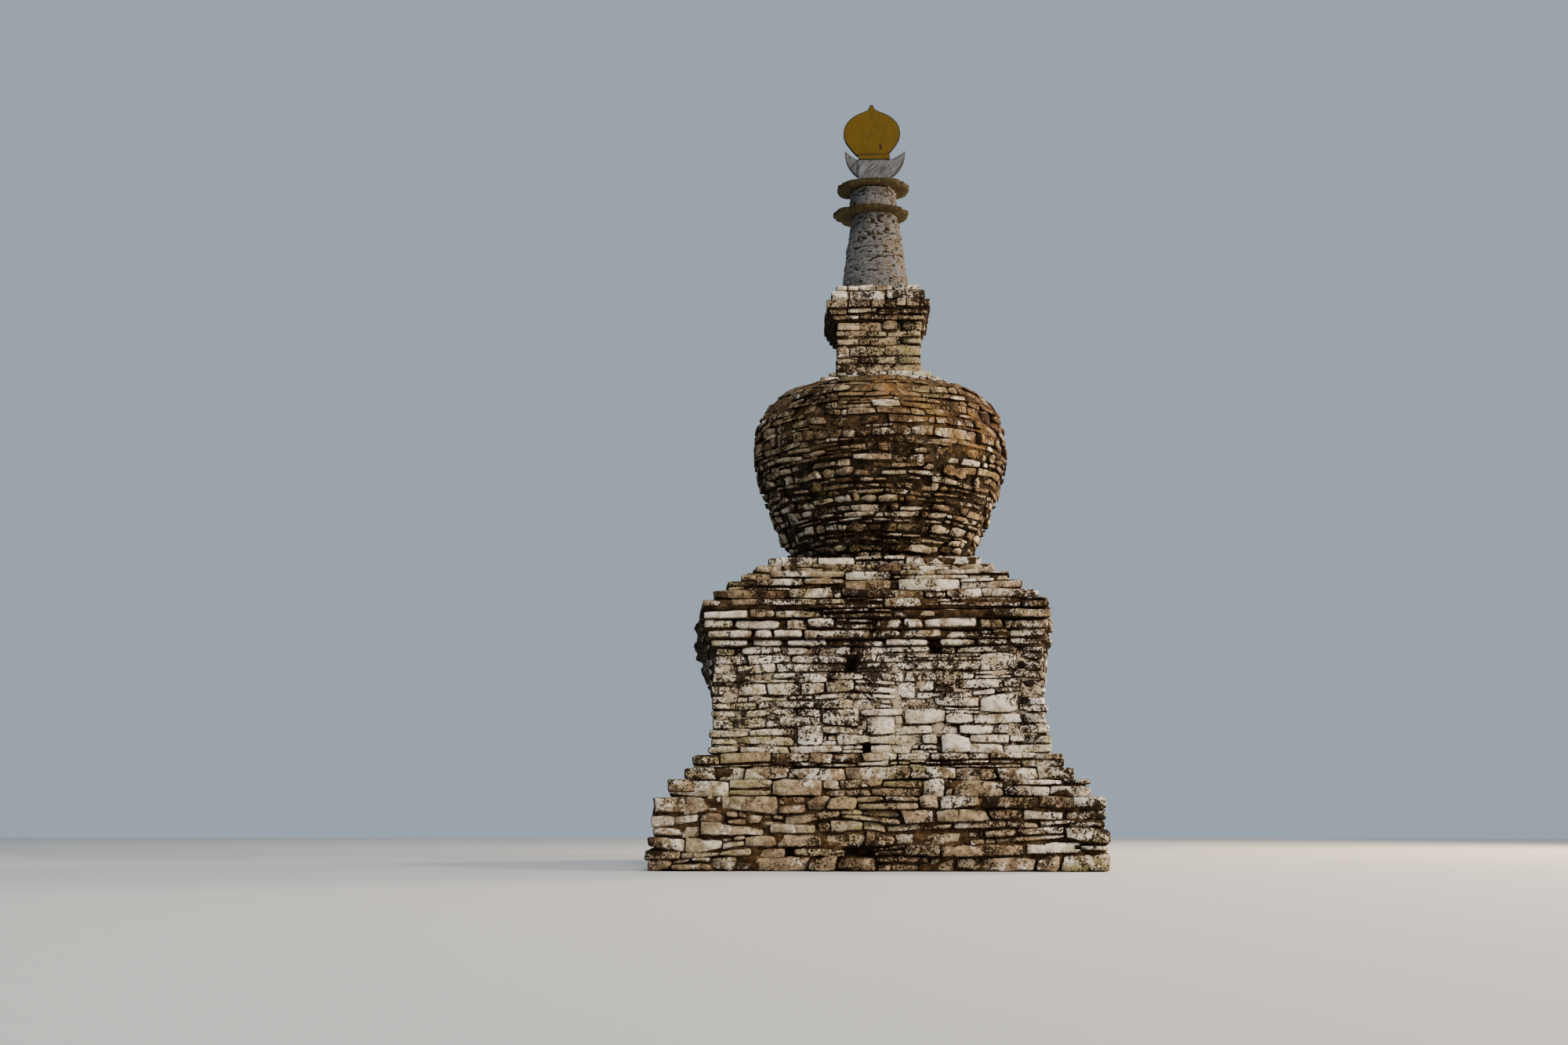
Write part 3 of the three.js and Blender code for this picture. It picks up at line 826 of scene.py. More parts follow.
def stone_paint(
    name,
    colours,
    whites=(STAINED_WHITE, WHITE),
    moss_and_shade_left=0.65,
    ochre=0.0,
    lichen=0.85,
    dashes=1.0,  # how many times wider than high the patches are
    warm_lit_right=0.0,
):
    """Bare stone, the whitewash left on it, mould where it is damp, moss on top, earth in the joint, painted
    light and shade.
    """
    paint, tree, place = new_paint(name)
    seed = mark(tree, "seed")
    level = place * (1.0, 1.0, dashes)
    own = level + combine(seed * 41.0, seed * 23.0, seed * 67.0)
    region, damp_region, lichen_region = patchy(place, 2.3, 3, 0.5)
    patches, damp_patches, crust = patchy(level, 8.0, 5, 0.62)
    mottle, worn, _ = patchy(own, 16, 5, 0.65)
    flakes, damp_flakes, dust = patchy(own, 36, 6, 0.70)
    specks, damp_specks, grain = patchy(level, 80, 5, 0.72)
    edge = 1.0 - mark(tree, "flat")
    inside = mark(tree, "inside")
    side, _, up = facing(tree)
    # faces turned to the left lose whitewash and darken with moss and mould: partly real moss, partly
    # painted shade
    left = spread(side * -1.0, 0.45, 0.95) * moss_and_shade_left

    # the stone itself, darker low on the dome
    tint = mark(tree, "tint") + about(mottle, 0.35) + about(patches, 0.25)
    if ochre:
        tint = tint - dome_height(place) * 0.24
    value = 1.0 + about(mottle, 0.60) + about(flakes, 0.60) + about(grain, 0.50)
    colour = ramp(tint, colours) * value

    # whitewash, the ochre clay that has run over it, and painted warm light on the right
    held = mark(tree, "wash") + about(region, 0.35) + about(patches, 0.40)
    held = held + about(worn, 0.40) + about(flakes, 0.40) + about(specks, 0.30)
    lost = edge * 0.12 + inside * 0.5 + left
    coat = spread(held - lost, 0.42, 0.58)
    fresh = spread(patches * 0.5 + mottle * 0.5, 0.20, 0.65)
    white = blend(fresh, *whites) * (1.0 + about(dust, 0.25) + about(grain, 0.20))
    colour = blend(coat, colour, white)
    if ochre:
        colour = ochre_stain(colour, place, ochre)
    # painted warm light: faces turned to the right are tinted warm, as by a low sun
    if warm_lit_right:
        colour = cover(colour, colour * WARM_LIGHT_TINT, side + about(region, 0.6), 0.0, 0.70, warm_lit_right)

    # a crust of lichen, then mould in the damp places; faces turned to the left darken here too, as moss and
    # painted shade
    crusted = about(lichen_region, 0.9) + about(crust, 0.4) + about(dust, 0.6) + about(grain, 1.1)
    colour = cover(colour, LICHEN, crusted, 0.42, 0.66, lichen)
    damp = mark(tree, "grime") + edge * 0.14 + left + about(damp_region, 0.55)
    damp = damp + about(damp_patches, 0.52) + about(damp_flakes, 0.50) + about(damp_specks, 0.68)
    colour = cover(colour, MOSS, damp, 0.45, 0.66, 0.6)
    colour = cover(colour, MOULD, damp, 0.51, 0.70, 0.95)

    # moss on top, painted shade on faces turned down, earth in the joint
    settled = spread(up, 0.35, 0.8) * 0.4 + about(flakes, 0.6)
    colour = cover(colour, MOSS, settled, 0.20, 0.60, 0.6)
    # painted shade: faces turned down are darkened with the joint-earth colour
    colour = cover(colour, EARTH_AND_SHADE, up * -1.0, 0.3, 0.8, 0.6)
    ragged = edge * 0.85 + about(worn, 0.6) + about(damp_specks, 0.4)
    arris = spread(ragged, 0.42, 0.90, 0.0, 0.93)
    joint = maths("MAXIMUM", arris, spread(inside, 0.15, 0.9) * 0.92)
    closed = spread(crust, 0.35, 0.75) * (1.0 - inside)
    colour = blend(joint * (1.0 - closed), colour, EARTH_AND_SHADE)

    height = mottle * 0.8 + flakes * 0.45 + specks * 0.15 + coat * 0.15
    return finish_paint(paint, colour, 0.92, height, 0.008)


def earth_paint(name, colours, low_colours=None, levels=(0.0, 1.0), ochre=0.0, coat_colour=STAINED_WHITE):
    """Clods and crumbs, darker below the given levels, with moss and what the brush left on them."""
    paint, tree, place = new_paint(name)
    clods, damp, _ = patchy(place, 22, 6, 0.7)
    crumbs, white, grain = patchy(place, 85, 5, 0.7)
    crumbled = clods + about(crumbs, 0.4)
    colour = ramp(crumbled, colours)
    if low_colours:
        height = split(place)[2] + about(damp, 0.25)
        colour = cover(ramp(crumbled, low_colours), colour, height, *levels)
    if ochre:
        colour = ochre_stain(colour, place, ochre)
    colour = cover(colour, MOSS, damp + about(grain, 0.7), 0.55, 0.8, 0.7)
    coat = mark(tree, "wash") + about(clods, 0.7) + about(white, 0.6)
    colour = cover(colour, coat_colour, coat, 0.42, 0.60)
    return finish_paint(paint, colour, 0.97, clods + crumbs * 0.4, 0.010)


BARE_COLOURS = (
    (0.110, 0.064, 0.034),
    (0.190, 0.122, 0.070),
    (0.290, 0.208, 0.126),
    (0.370, 0.282, 0.180),
    (0.330, 0.278, 0.200),
)
DOME_COLOURS = (
    (0.060, 0.034, 0.016),
    (0.125, 0.074, 0.036),
    (0.205, 0.138, 0.076),
    (0.330, 0.255, 0.168),
    (0.500, 0.430, 0.320),
)
EARTH_COLOURS = ((0.012, 0.0065, 0.003), (0.042, 0.022, 0.0095), (0.120, 0.068, 0.031))
CLAY_COLOURS = ((0.026, 0.012, 0.005), (0.078, 0.040, 0.017), (0.160, 0.092, 0.043))
DARK_COLOURS = ((0.006, 0.004, 0.002), (0.015, 0.0095, 0.0045), (0.050, 0.032, 0.015))
RUST_COLOURS = ((0.014, 0.007, 0.003), (0.058, 0.029, 0.011), (0.160, 0.088, 0.038))
LIME_COLOURS = ((0.008, 0.005, 0.003), (0.028, 0.020, 0.013), (0.090, 0.078, 0.062))
GREY_LIMES = ((0.088, 0.080, 0.069, 1), (0.142, 0.138, 0.133, 1))
dome_low, dome_high = boxes["dome"]
CLAY_FROM = dome_low.z + 0.55 * (dome_high.z - dome_low.z)
CLAY_LEVELS = (CLAY_FROM, CLAY_FROM + 0.25)  # between them the dome's dark earth turns to clay

bare_stone = stone_paint("bare field stone", BARE_COLOURS)
dome_stone = stone_paint("dome stone", DOME_COLOURS, moss_and_shade_left=0.12, ochre=0.85)
lime_changes = {"moss_and_shade_left": 0.0, "lichen": 0.0, "dashes": 5.0, "warm_lit_right": 0.85}
limed_stone = stone_paint("limed stone", BARE_COLOURS, GREY_LIMES, **lime_changes)
earth = earth_paint("joint earth", EARTH_COLOURS)
rusty_earth = earth_paint("rusty earth", RUST_COLOURS)
lime = earth_paint("lime in the joints", LIME_COLOURS, coat_colour=GREY_LIMES[1])
clay = earth_paint("dome clay", CLAY_COLOURS, DARK_COLOURS, CLAY_LEVELS, ochre=0.6)
print("paints:", [m.name for m in bpy.data.materials])

# %% [markdown]
# One rule sheet says how each part of the building was laid: how thick its courses are,
# how long its stones, how far they reach into the wall, how ragged they lie, and how much
# whitewash and mould is left on them. The plinth has the thickest stones. The throne's
# are thin and even, the dome's small and rough, and the harmika's small and neat. Each
# part starts from the plain rule and names only what differs.

# %% Rules for each part
PLAIN_RULE = {
    "earth": earth,
    "course": 0.064,  # thickness of a course
    "length": 0.20,  # usual length of a stone
    "spread": 0.36,  # how much lengths differ
    "depth": 0.15,  # how far a stone reaches into the wall
    "cap_depth": 0.17,  # the same for the last course, which shows from above
    "joint": (-0.003, 0.007),  # width of a joint; stones may touch and overlap
    "proud": 0.009,  # how ragged the face is
    "turn": 0.035,  # how far a stone is turned out of line
    "wander": 0.030,  # how far a bed line strays
    "wedge": 0.10,  # how much thicker one end is
    "slant": 0.20,  # how far the ends are cut aslant
    "taper": 0.30,  # how much thinner a stone is at its ends
    "tilt": 0.020,
    "batter": 1.0,  # how far a face follows the slope of the wall
    "tall": 0.03,  # share of stones that take two courses
    "thin": 0.10,  # share of places filled by thinner stones
    "missing": 0.03,  # share of places where a stone is lost or sunk
    "tint": 0.13,  # how much colours differ
    "rise": 0.016,  # how far the beds climb to the right, metres per metre
    "round": False,
    "only": None,  # the number of the one side that is built
    "draw": "",  # another word here gives another draw of random stones
    "rounding": 0.011,
    "lump": 0.015,
    "lump_size": 0.07,
    "columns": 7,
    "rows": 4,
    "inset": (0.020, 0.020),  # how deep the core lies behind the faces, at the foot and at the top
    "core_wash": 0.0,
    "core_step": 0.035,  # how far apart the core's vertices are
    "core_lump": 11.0,  # its lumps per metre
    "core_rough": 1.3,  # how much its depth differs
    "core_flat": 1.0,  # how much wider than high its lumps are
    "foot": {},  # what differs in the lower half
    "slabs": (),  # named stones of the front
    "holes": (),  # x, z, width and height of holes in the front
    "wash": (0.7, 0.7, 0.7),  # left, middle and right of the front
    "grime": (0.35, 0.35),  # foot and top
}
TREE_INPUTS = {
    "Columns": "columns",
    "Rows": "rows",
    "Rounding": "rounding",
    "Lump height": "lump",
    "Lump size": "lump_size",
    "Core paint": "earth",
}
TREAD_MARGIN = 0.02  # a stone that ends this near the top of its piece shows its top
TREAD_LEAN = -0.4  # and so does one on the dome's shoulder
WASH_SPREAD = 0.07
GRIME_SPREAD = 0.06
SUNK_DIRT = 0.2  # in a full recess a stone has this much less whitewash and more mould


def weather(node, stones, rule):
    """Gives each stone its share of whitewash and mould from where it lies."""
    low, high = boxes[node]
    rng = random.Random("weather of " + node)
    left, middle, right = rule["wash"]
    foot, top = rule["grime"]
    for stone in stones:
        place = stone["centre"]
        across = 2 * (place.x - low.x) / (high.x - low.x) - 1
        up = (place.z - low.z) / (high.z - low.z)
        wash = middle + (right - middle) * max(across, 0) + (left - middle) * max(-across, 0)
        dirt = SUNK_DIRT * stone["recess"] / SUNK
        stone["wash"] = wash + rng.gauss(0, WASH_SPREAD) - dirt
        stone["grime"] = foot + (top - foot) * up + rng.gauss(0, GRIME_SPREAD) + dirt
        if stone["own"]:
            stone["wash"], stone["grime"] = stone["own"]
        on_top = place.z + stone["size"][2] / 2 > high.z - TREAD_MARGIN
        stone["cap"] = 1.0 if on_top or stone["lean"] < TREAD_LEAN else 0.0
    return stones


def build_masonry(slot, paint, rules):
    """Builds each node by its rule, and prints how many stones were laid."""
    laid = 0
    for node, rule in rules.items():
        stones = weather(node, lay_masonry(node, rule), rule)
        piece = new_object(node + "_stones", point_mesh(node, stones))
        core = earth_core(node, rule)
        inputs = {name: rule[key] for name, key in TREE_INPUTS.items()}
        run_tree(piece, STONES, dict(inputs, Stone=paint, Core=core, Seed=float(len(node))))
        bpy.data.objects.remove(core)
        settle(piece, node)
        laid += len(stones)
    print(slot, "stones:", laid)


def same_for(name, numbers, rule):
    return {name + str(number): rule for number in numbers}


# %% [markdown]
# The plinth is the rough foot of the building. Its stones are bare and brown at the left
# and in the middle, and still carry whitewash at the right. The three steps on it are
# courses of thinner slabs.

# %% Plinth and its steps
plinth_rule = dict(
    PLAIN_RULE,
    earth=rusty_earth,
    slabs=(
        Slab(0.99, 1.40, 0.43, tint=0.30, wash=0.15, grime=0.40),
        Slab(0.38, 0.63, 0.41, tint=0.55, wash=0.60, grime=0.42),
        Slab(-1.26, -1.11, 0.33, tint=0.80, wash=0.35, grime=0.26),
        Slab(-1.10, -0.70, 0.28, tint=0.70, wash=0.20, grime=0.32),
        Slab(-0.67, -0.38, 0.27, tint=0.80, wash=0.30, grime=0.30),
        Slab(-0.29, -0.09, 0.27, tint=0.80, wash=0.30, grime=0.28),
        Slab(0.89, 1.15, 0.34, tint=0.80, wash=0.95, grime=0.34),
        Slab(0.91, 1.25, 0.11, tint=0.80, wash=0.75, grime=0.38),
        Slab(-1.19, -0.96, 0.20, tint=0.80, wash=0.35, grime=0.26),
    ),
    holes=((-0.11, 0.11, 0.18, 0.05), (-0.54, 0.11, 0.05, 0.07)),
    course=0.078, length=0.24, spread=0.42, depth=0.20, cap_depth=0.20, joint=(-0.004, 0.009),
    proud=0.014, turn=0.05, wander=0.048, wedge=0.13, slant=0.22, taper=0.32, tilt=0.035,
    tall=0.01, thin=0.28, missing=0.01, rounding=0.014, lump=0.022, lump_size=0.09,
    inset=(0.026, 0.022), wash=(0.30, 0.05, 0.55), grime=(0.48, 0.40),
)
step_rule = dict(
    PLAIN_RULE, course=0.055, length=0.24, depth=0.17, thin=0.30, proud=0.010, wander=0.016, lump=0.017,
    wash=(0.36, 0.40, 0.66), grime=(0.42, 0.42),
)
first_step_rule = dict(
    step_rule,
    earth=rusty_earth,
    slabs=(
        Slab(-1.31, -0.93, 0.51, 2, tint=0.80, wash=0.50, grime=0.28),
        Slab(-0.66, -0.34, 0.51, 2, tint=0.60, wash=0.30, grime=0.40),
        Slab(0.28, 0.42, 0.51, 2, tint=0.80, wash=0.90, grime=0.28),
        Slab(0.47, 0.79, 0.51, 2, tint=0.55, wash=0.45, grime=0.42),
    ),
)
plinth_rules = {"plinth": plinth_rule, "plinth_step_1": first_step_rule}
plinth_rules.update(same_for("plinth_step_", (2, 3), step_rule))
build_masonry("bare_stone", bare_stone, plinth_rules)

# %% [markdown]
# The throne is the best kept part: twelve thin courses, then three corbel courses that
# step out, and a cornice of two. Its side walls have bulged, and the rays follow them.

# %% Throne
throne_rule = dict(
    PLAIN_RULE, course=0.058, thin=0.16, tall=0.07, wash=(0.80, 0.74, 0.66), grime=(0.41, 0.46),
    core_wash=0.48, inset=(0.018, 0.018),
    slabs=(
        WhiteSlab(0.67, 0.92, 1.31, 2),
        WhiteSlab(-0.35, -0.10, 0.94, 2),
        WhiteSlab(-0.07, 0.13, 0.93, 2),
        WhiteSlab(0.18, 0.45, 0.96, 2),
        WhiteSlab(0.67, 0.92, 1.02, 2),
        Slab(0.41, 0.61, 0.81, 2, wash=0.95, grime=0.24),
        WhiteSlab(-0.39, -0.15, 1.04),
        Slab(-0.51, -0.34, 0.84, 2, wash=0.90, grime=0.26),
        WhiteSlab(0.07, 0.35, 1.39),
        WhiteSlab(-0.53, -0.31, 1.23),
    ),
    holes=((-0.17, 1.30, 0.07, 0.08), (0.385, 1.39, 0.03, 0.06), (-0.04, 0.76, 0.05, 0.07)),
)
corbel_rule = dict(
    PLAIN_RULE, course=0.07, length=0.22, depth=0.18, cap_depth=0.18, thin=0.10, rounding=0.018,
    wander=0.012, proud=0.012, taper=0.34, inset=(0.030, 0.024), wash=(0.76, 0.56, 0.62),
    grime=(0.36, 0.46), joint=(0.003, 0.014),
)
LOW_CORBEL_ENDS = ((-1.08, -0.82), (-0.80, -0.60), (-0.58, -0.31), (0.06, 0.35), (0.41, 0.65))
low_corbel_slabs = [WhiteSlab(*ends, 1.44) for ends in LOW_CORBEL_ENDS]
cornice_rule = dict(
    corbel_rule, course=0.050, length=0.27, spread=0.50, thin=0.16, proud=0.016, rounding=0.012,
    wash=(0.46, 0.22, 0.34), grime=(0.52, 0.54), slabs=(Slab(-1.12, -0.82, 1.63, wash=1.00, grime=0.24),),
)
throne_rules = {
    "throne_wall": throne_rule,
    "throne_corbel_1": dict(corbel_rule, slabs=low_corbel_slabs, holes=((0.38, 1.44, 0.04, 0.05),)),
    "throne_corbel_2": corbel_rule,
    "throne_corbel_3": corbel_rule,
    "throne_cornice_lower": cornice_rule,
    "throne_cornice_upper": cornice_rule,
}
build_masonry("whitewashed_stone", bare_stone, throne_rules)

# %% [markdown]
# The terrace closes in on the dome in five narrow steps. Long slabs cover them, grey and
# spotted with lichen.

# %% Terrace
terrace_rule = dict(
    PLAIN_RULE, course=0.042, length=0.32, spread=0.55, depth=0.18, cap_depth=0.18, thin=0.20,
    wander=0.012, proud=0.016, inset=(0.026, 0.020), wash=(0.38, 0.40, 0.44), grime=(0.48, 0.48),
)
terrace_rules = same_for("terrace_step_", range(1, 6), terrace_rule)
terrace_rules["terrace_step_1"] = dict(
    terrace_rule,
    course=0.065,
    slabs=(
        Slab(-1.06, -0.59, 1.77, tint=0.20, wash=0.00, grime=0.40),
        Slab(-0.57, -0.27, 1.77, tint=0.60, wash=0.35, grime=0.40),
        Slab(-0.22, 0.32, 1.77, tint=0.20, wash=0.05, grime=0.46),
    ),
)
terrace_rules["terrace_step_2"] = dict(
    terrace_rule,
    slabs=(
        Slab(-0.20, 0.11, 1.84, 2, tint=0.35, wash=0.10, grime=0.36),
        Slab(0.15, 0.56, 1.84, 2, tint=0.90, wash=0.58, grime=0.44),
    ),
)
third_step_slab = Slab(-0.20, 0.11, 1.91, 2, tint=0.90, wash=0.62, grime=0.44)
terrace_rules["terrace_step_3"] = dict(terrace_rule, slabs=(third_step_slab,))
terrace_rules["terrace_step_5"] = dict(
    terrace_rule, depth=0.31, cap_depth=0.31, wash=(0.62, 0.72, 0.60), draw=" again",
    slabs=(Slab(-0.38, -0.13, 2.03, wash=1.20, grime=0.12),),
)
build_masonry("whitewashed_stone", bare_stone, terrace_rules)

# %% [markdown]
# The dome has lost nearly all its whitewash. Its small stones lie in rings, and their
# faces lean out over the narrow foot. The upper part is of flat stones smeared with ochre
# clay. In the lower half they are looser, set in dark earth and black with mould.

# %% Dome
dome_rule = dict(
    PLAIN_RULE, earth=clay, course=0.046, length=0.120, spread=0.48, depth=0.14, cap_depth=0.30,
    joint=(-0.002, 0.012), proud=0.011, turn=0.05, wander=0.034, wedge=0.14, slant=0.18, taper=0.34,
    tilt=0.045, batter=0.8, tall=0.07, thin=0.04, missing=0.05, rounding=0.007, lump=0.016,
    lump_size=0.045, rise=0.0, round=True, tint=0.25, columns=5, inset=(0.026, 0.018),
    wash=(0.15, 0.13, 0.07), grime=(0.36, 0.40), core_step=0.022, draw=" again",
    foot=dict(joint=(0.000, 0.019), length=0.108, missing=0.08, taper=0.50, proud=0.013, slant=0.26),
)
build_masonry("dome_stone", dome_stone, {"dome": dome_rule})

# %% [markdown]
# Three thin square steps lead from the dome to the harmika, a small box with its own
# corbels and cornice. At its sides the corbels start one course lower, on a short row of
# stones of their own.

# %% Dome steps and harmika
top_rule = dict(
    PLAIN_RULE, course=0.045, length=0.15, depth=0.16, cap_depth=0.16, joint=(-0.001, 0.008),
    proud=0.007, wander=0.008, rounding=0.008, lump=0.010, lump_size=0.06, rise=0.0,
    inset=(0.018, 0.014), slant=0.10, tall=0.0, thin=0.05, tilt=0.015, wash=(0.36, 0.46, 0.50),
    grime=(0.44, 0.44),
)
harmika_rule = dict(
    top_rule, course=0.068, length=0.17, wander=0.012, thin=0.10,
    wash=(0.27, 0.21, 0.31), grime=(0.43, 0.47), core_wash=0.26, inset=(0.014, 0.012),
)
side_corbel_rule = dict(top_rule, depth=0.05, cap_depth=0.05, course=0.052)
thin_rule = dict(
    top_rule, course=0.036, length=0.17, thin=0.10, proud=0.010, wash=(0.26, 0.24, 0.30), grime=(0.48, 0.48),
)
upright_rule = dict(
    top_rule, course=0.07, length=0.11, spread=0.45, rounding=0.010, lump=0.007, proud=0.005,
    wedge=0.03, tilt=0.010, taper=0.08, slant=0.05, wash=(0.20, 0.22, 0.26), grime=(0.43, 0.43),
)
spire_step_rule = dict(upright_rule, length=0.16, rounding=0.013, wash=(0.72, 0.78, 0.78), core_wash=0.60)
harmika_rules = {
    **same_for("dome_step_", (1, 2, 3), dict(top_rule, wash=(0.42, 0.72, 0.85))),
    "harmika_wall": harmika_rule,
    "harmika_side_corbel_left": dict(side_corbel_rule, only=3),
    "harmika_side_corbel_right": dict(side_corbel_rule, only=1),
    **same_for("harmika_corbel_", (1, 2), thin_rule),
    "harmika_cornice": upright_rule,
    **same_for("harmika_step_", (1, 2), spire_step_rule),
}
build_masonry("harmika_stone", bare_stone, harmika_rules)

# %% [markdown]
# The cone and the neck are rings of small stones under a thick coat of lime. The lime
# fills most joints, so the core lies close behind the faces and is white itself where it
# comes forward. Its lumps are wider than high, and leave short dark dashes along the rings.

# %% Cone and neck
cone_rule = dict(
    PLAIN_RULE, course=0.046, length=0.11, depth=0.10, cap_depth=0.12, joint=(-0.003, 0.005),
    proud=0.0025, wander=0.016, turn=0.02, tilt=0.03, rounding=0.005, lump=0.008, lump_size=0.05,
    rise=0.0, round=True, missing=0.0, taper=0.15, columns=6, earth=lime, inset=(0.004, 0.004),
    core_step=0.012, core_lump=32.0, core_rough=3.0, core_flat=2.8, core_wash=0.80,
    wash=(1.05, 1.05, 0.72), grime=(0.25, 0.25),
)
build_masonry("spire_plaster", limed_stone, {"spire_cone": cone_rule, "spire_neck": cone_rule})

# %% [markdown]
# Two slabs of slate cap the cone and the neck. Slate splits into sheets, so its rim is a
# stack of thin broken edges, and no two sheets end at quite the same place. A disc could
# be a cylinder with a Displace modifier, but the sheets would be lost. Here the slab is
# lofted by hand: the imported solid gives the outline, and each sheet strays from it by its
# own noise. Its paint is dark olive, spotted with lichen, and darker on the rim as painted
# shade.

# %% Slate discs
DISC_TURN = 160  # points round the rim
SHEETS = 4
SHEET_STRAY = 0.006
SHEET_WAVES = 11.0  # how fine a sheet's own outline is
SHEET_STEP = 5.3  # sets the noise of one sheet apart from the next one's
SHEET_OPEN = 0.8  # share of a sheet's thickness before the crack to the next one
CHIP = 0.036
CHIP_FROM = 0.15  # noise above this breaks a chip out of the rim
CHIP_WAVES = 6.0
CHIP_LAYER = 9  # chips go through all sheets, so they share one layer of noise
FACE_WAVE = 0.004
FACE_WAVES = 9  # per metre
FACE_RINGS = ((0.35, 0.0), (0.75, 0.0), (0.93, 0.001), (0.98, 0.003))  # share of the radius, drop
FIRST_SHEET = 0.004  # how far the first sheet's edge lies below the face
RIM_INSET = 0.002
SLATE_COLOURS = ((0.022, 0.015, 0.006), (0.078, 0.056, 0.024), (0.155, 0.118, 0.058))
SLATE_LICHEN = (0.20, 0.18, 0.095, 1)


def slate_disc(node, seed):
    low, high = boxes[node]
    middle = (low + high) / 2
    directions = [compass(2 * math.pi * i / DISC_TURN) for i in range(DISC_TURN)]
    hits = [solid_of(node).ray_cast(middle + out, -out)[0] for out in directions]

    def stray(out, sheet, waves):
        return noise.noise(Vector((out.x * waves, out.y * waves, SHEET_STEP * sheet + seed)))

    levels = [(share, high.z - drop, None) for share, drop in FACE_RINGS]
    for sheet in range(SHEETS):
        for crack in (0, SHEET_OPEN):
            depth = (high.z - low.z - 2 * FIRST_SHEET) * (sheet + crack) / SHEETS
            levels.append((1.0, high.z - FIRST_SHEET - depth, sheet))
    levels += [(share, low.z + drop, None) for share, drop in reversed(FACE_RINGS)]

    body = bmesh.new()
    rings = []
    for share, z, sheet in levels:
        ring = []
        for out, hit in zip(directions, hits):
            chip = max(0.0, stray(out, CHIP_LAYER, CHIP_WAVES) - CHIP_FROM) * CHIP
            own = stray(out, sheet, SHEET_WAVES) * SHEET_STRAY if sheet is not None else 0.0
            spot = out * (((hit - middle).length - chip) * share + own - RIM_INSET)
            wave = noise.noise(Vector((spot.x * FACE_WAVES, spot.y * FACE_WAVES, seed + z)))
            ring.append(body.verts.new((middle.x + spot.x, middle.y + spot.y, z + wave * FACE_WAVE)))
        rings.append(ring)
    for upper, lower in zip(rings, rings[1:]):
        for i in range(DISC_TURN):
            j = (i + 1) % DISC_TURN
            body.faces.new((upper[i], lower[i], lower[j], upper[j]))
    for ring, z in ((rings[0], high.z), (list(reversed(rings[-1])), low.z)):
        hub = body.verts.new((middle.x, middle.y, z))
        for pair in zip(ring, ring[1:] + ring[:1]):
            body.faces.new((*pair, hub))
    return smooth_object(body, node + "_slab", sharp_angle=50)


def slate_paint():
    paint, tree, place = new_paint("lichened slate")
    mottle = cloud(place, 9, 6, 0.65)
    flakes = cloud(place, 42, 8, 0.7)
    grain = cloud(place, 170, 5, 0.7)
    rim = 1.0 - maths("ABSOLUTE", facing(tree)[2])
    colour = ramp(mottle, SLATE_COLOURS) * (1.0 + about(flakes, 2.4) + about(grain, 1.3))
    colour = cover(colour, SLATE_LICHEN, about(mottle, 0.9) + about(flakes, 1.2), 0.16, 0.30, 0.40)
    # painted shade: faces that look sideways, round the rim, are darkened
    colour = colour * (1.0 - rim * 0.6)
    colour = cover(colour, MOULD, about(flakes, 1.2) - about(mottle, 0.8), 0.08, 0.26, 0.85)
    return finish_paint(paint, colour, 0.88, mottle * 0.7 + flakes * 0.5, 0.008)


slate = slate_paint()
for node, seed in (("spire_lower_disc", 2.0), ("spire_upper_disc", 7.0)):
    disc = slate_disc(node, seed)
    disc.data.materials.append(slate)
    settle(disc, node)

# %% [markdown]
# The moon and the sun are sawn from boards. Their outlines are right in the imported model,
# but a board that has stood in the rain has no sharp edge left. A copy of each solid is
# cleaned to whole faces, its edges are rounded, and its faces get an inset ring, so that
# the paint can wear away near the edge. The ring's mark is called "rim".

# %% Boards of the moon and the sun
SAME_FACE = math.radians(2)  # faces that meet at less are one face
SHARP_EDGE = math.radians(35)
FRONT_SHARE = 0.3  # a front face has at least this share of the largest face's area
WARP_WAVES = 35  # per metre
WARP = 0.0008
WARP_SEED = 1  # without a seed the vector noise differs from run to run
ALONG_GRAIN = (1.0, 1.0, 0.12)  # draws the grain out along a board
MARK_STRAY = 0.008  # how ragged the outline of a dark mark is

noise.seed_set(WARP_SEED)


def worn_board(node, rounding, rim, joints):
    """A board with worn edges. Where it meets the next board, at a joint, its paint hasn't worn."""
    body = bmesh.new()
    body.from_mesh(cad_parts[node].data)
    bmesh.ops.remove_doubles(body, verts=body.verts, dist=0.0001)
    bmesh.ops.dissolve_limit(body, angle_limit=SAME_FACE, verts=body.verts, edges=body.edges)
    sharp = [e for e in body.edges if e.calc_face_angle(0) > SHARP_EDGE]
    bmesh.ops.bevel(body, geom=sharp, offset=rounding, segments=2, profile=0.5, affect="EDGES")
    body.normal_update()
    largest = max(f.calc_area() for f in body.faces)
    faces = [f for f in body.faces if abs(f.normal.y) > 0.99 and f.calc_area() > FRONT_SHARE * largest]
    bmesh.ops.inset_region(body, faces=faces, thickness=rim, use_even_offset=True)
    rims = body.verts.layers.float.new("rim")
    kept = {vertex for face in faces for vertex in face.verts}
    for vertex in body.verts:
        by_joint = any(abs(vertex.co.x - joint) < rim + rounding for joint in joints)
        vertex[rims] = 0.0 if vertex in kept or by_joint else 1.0
    for vertex in body.verts:
        vertex.co += noise.noise_vector(vertex.co * WARP_WAVES) * WARP
    bmesh.ops.triangulate(body, faces=[f for f in body.faces if len(f.verts) > 4])
    return smooth_object(body, node + "_board", sharp_angle=40)


def oval(place, middle, size):
    """1 inside a small oval round a place on a face, 0 outside it."""
    return spread(maths("LENGTH", (place - middle) / size), 0.6, 1.1, 1.0, 0.0)


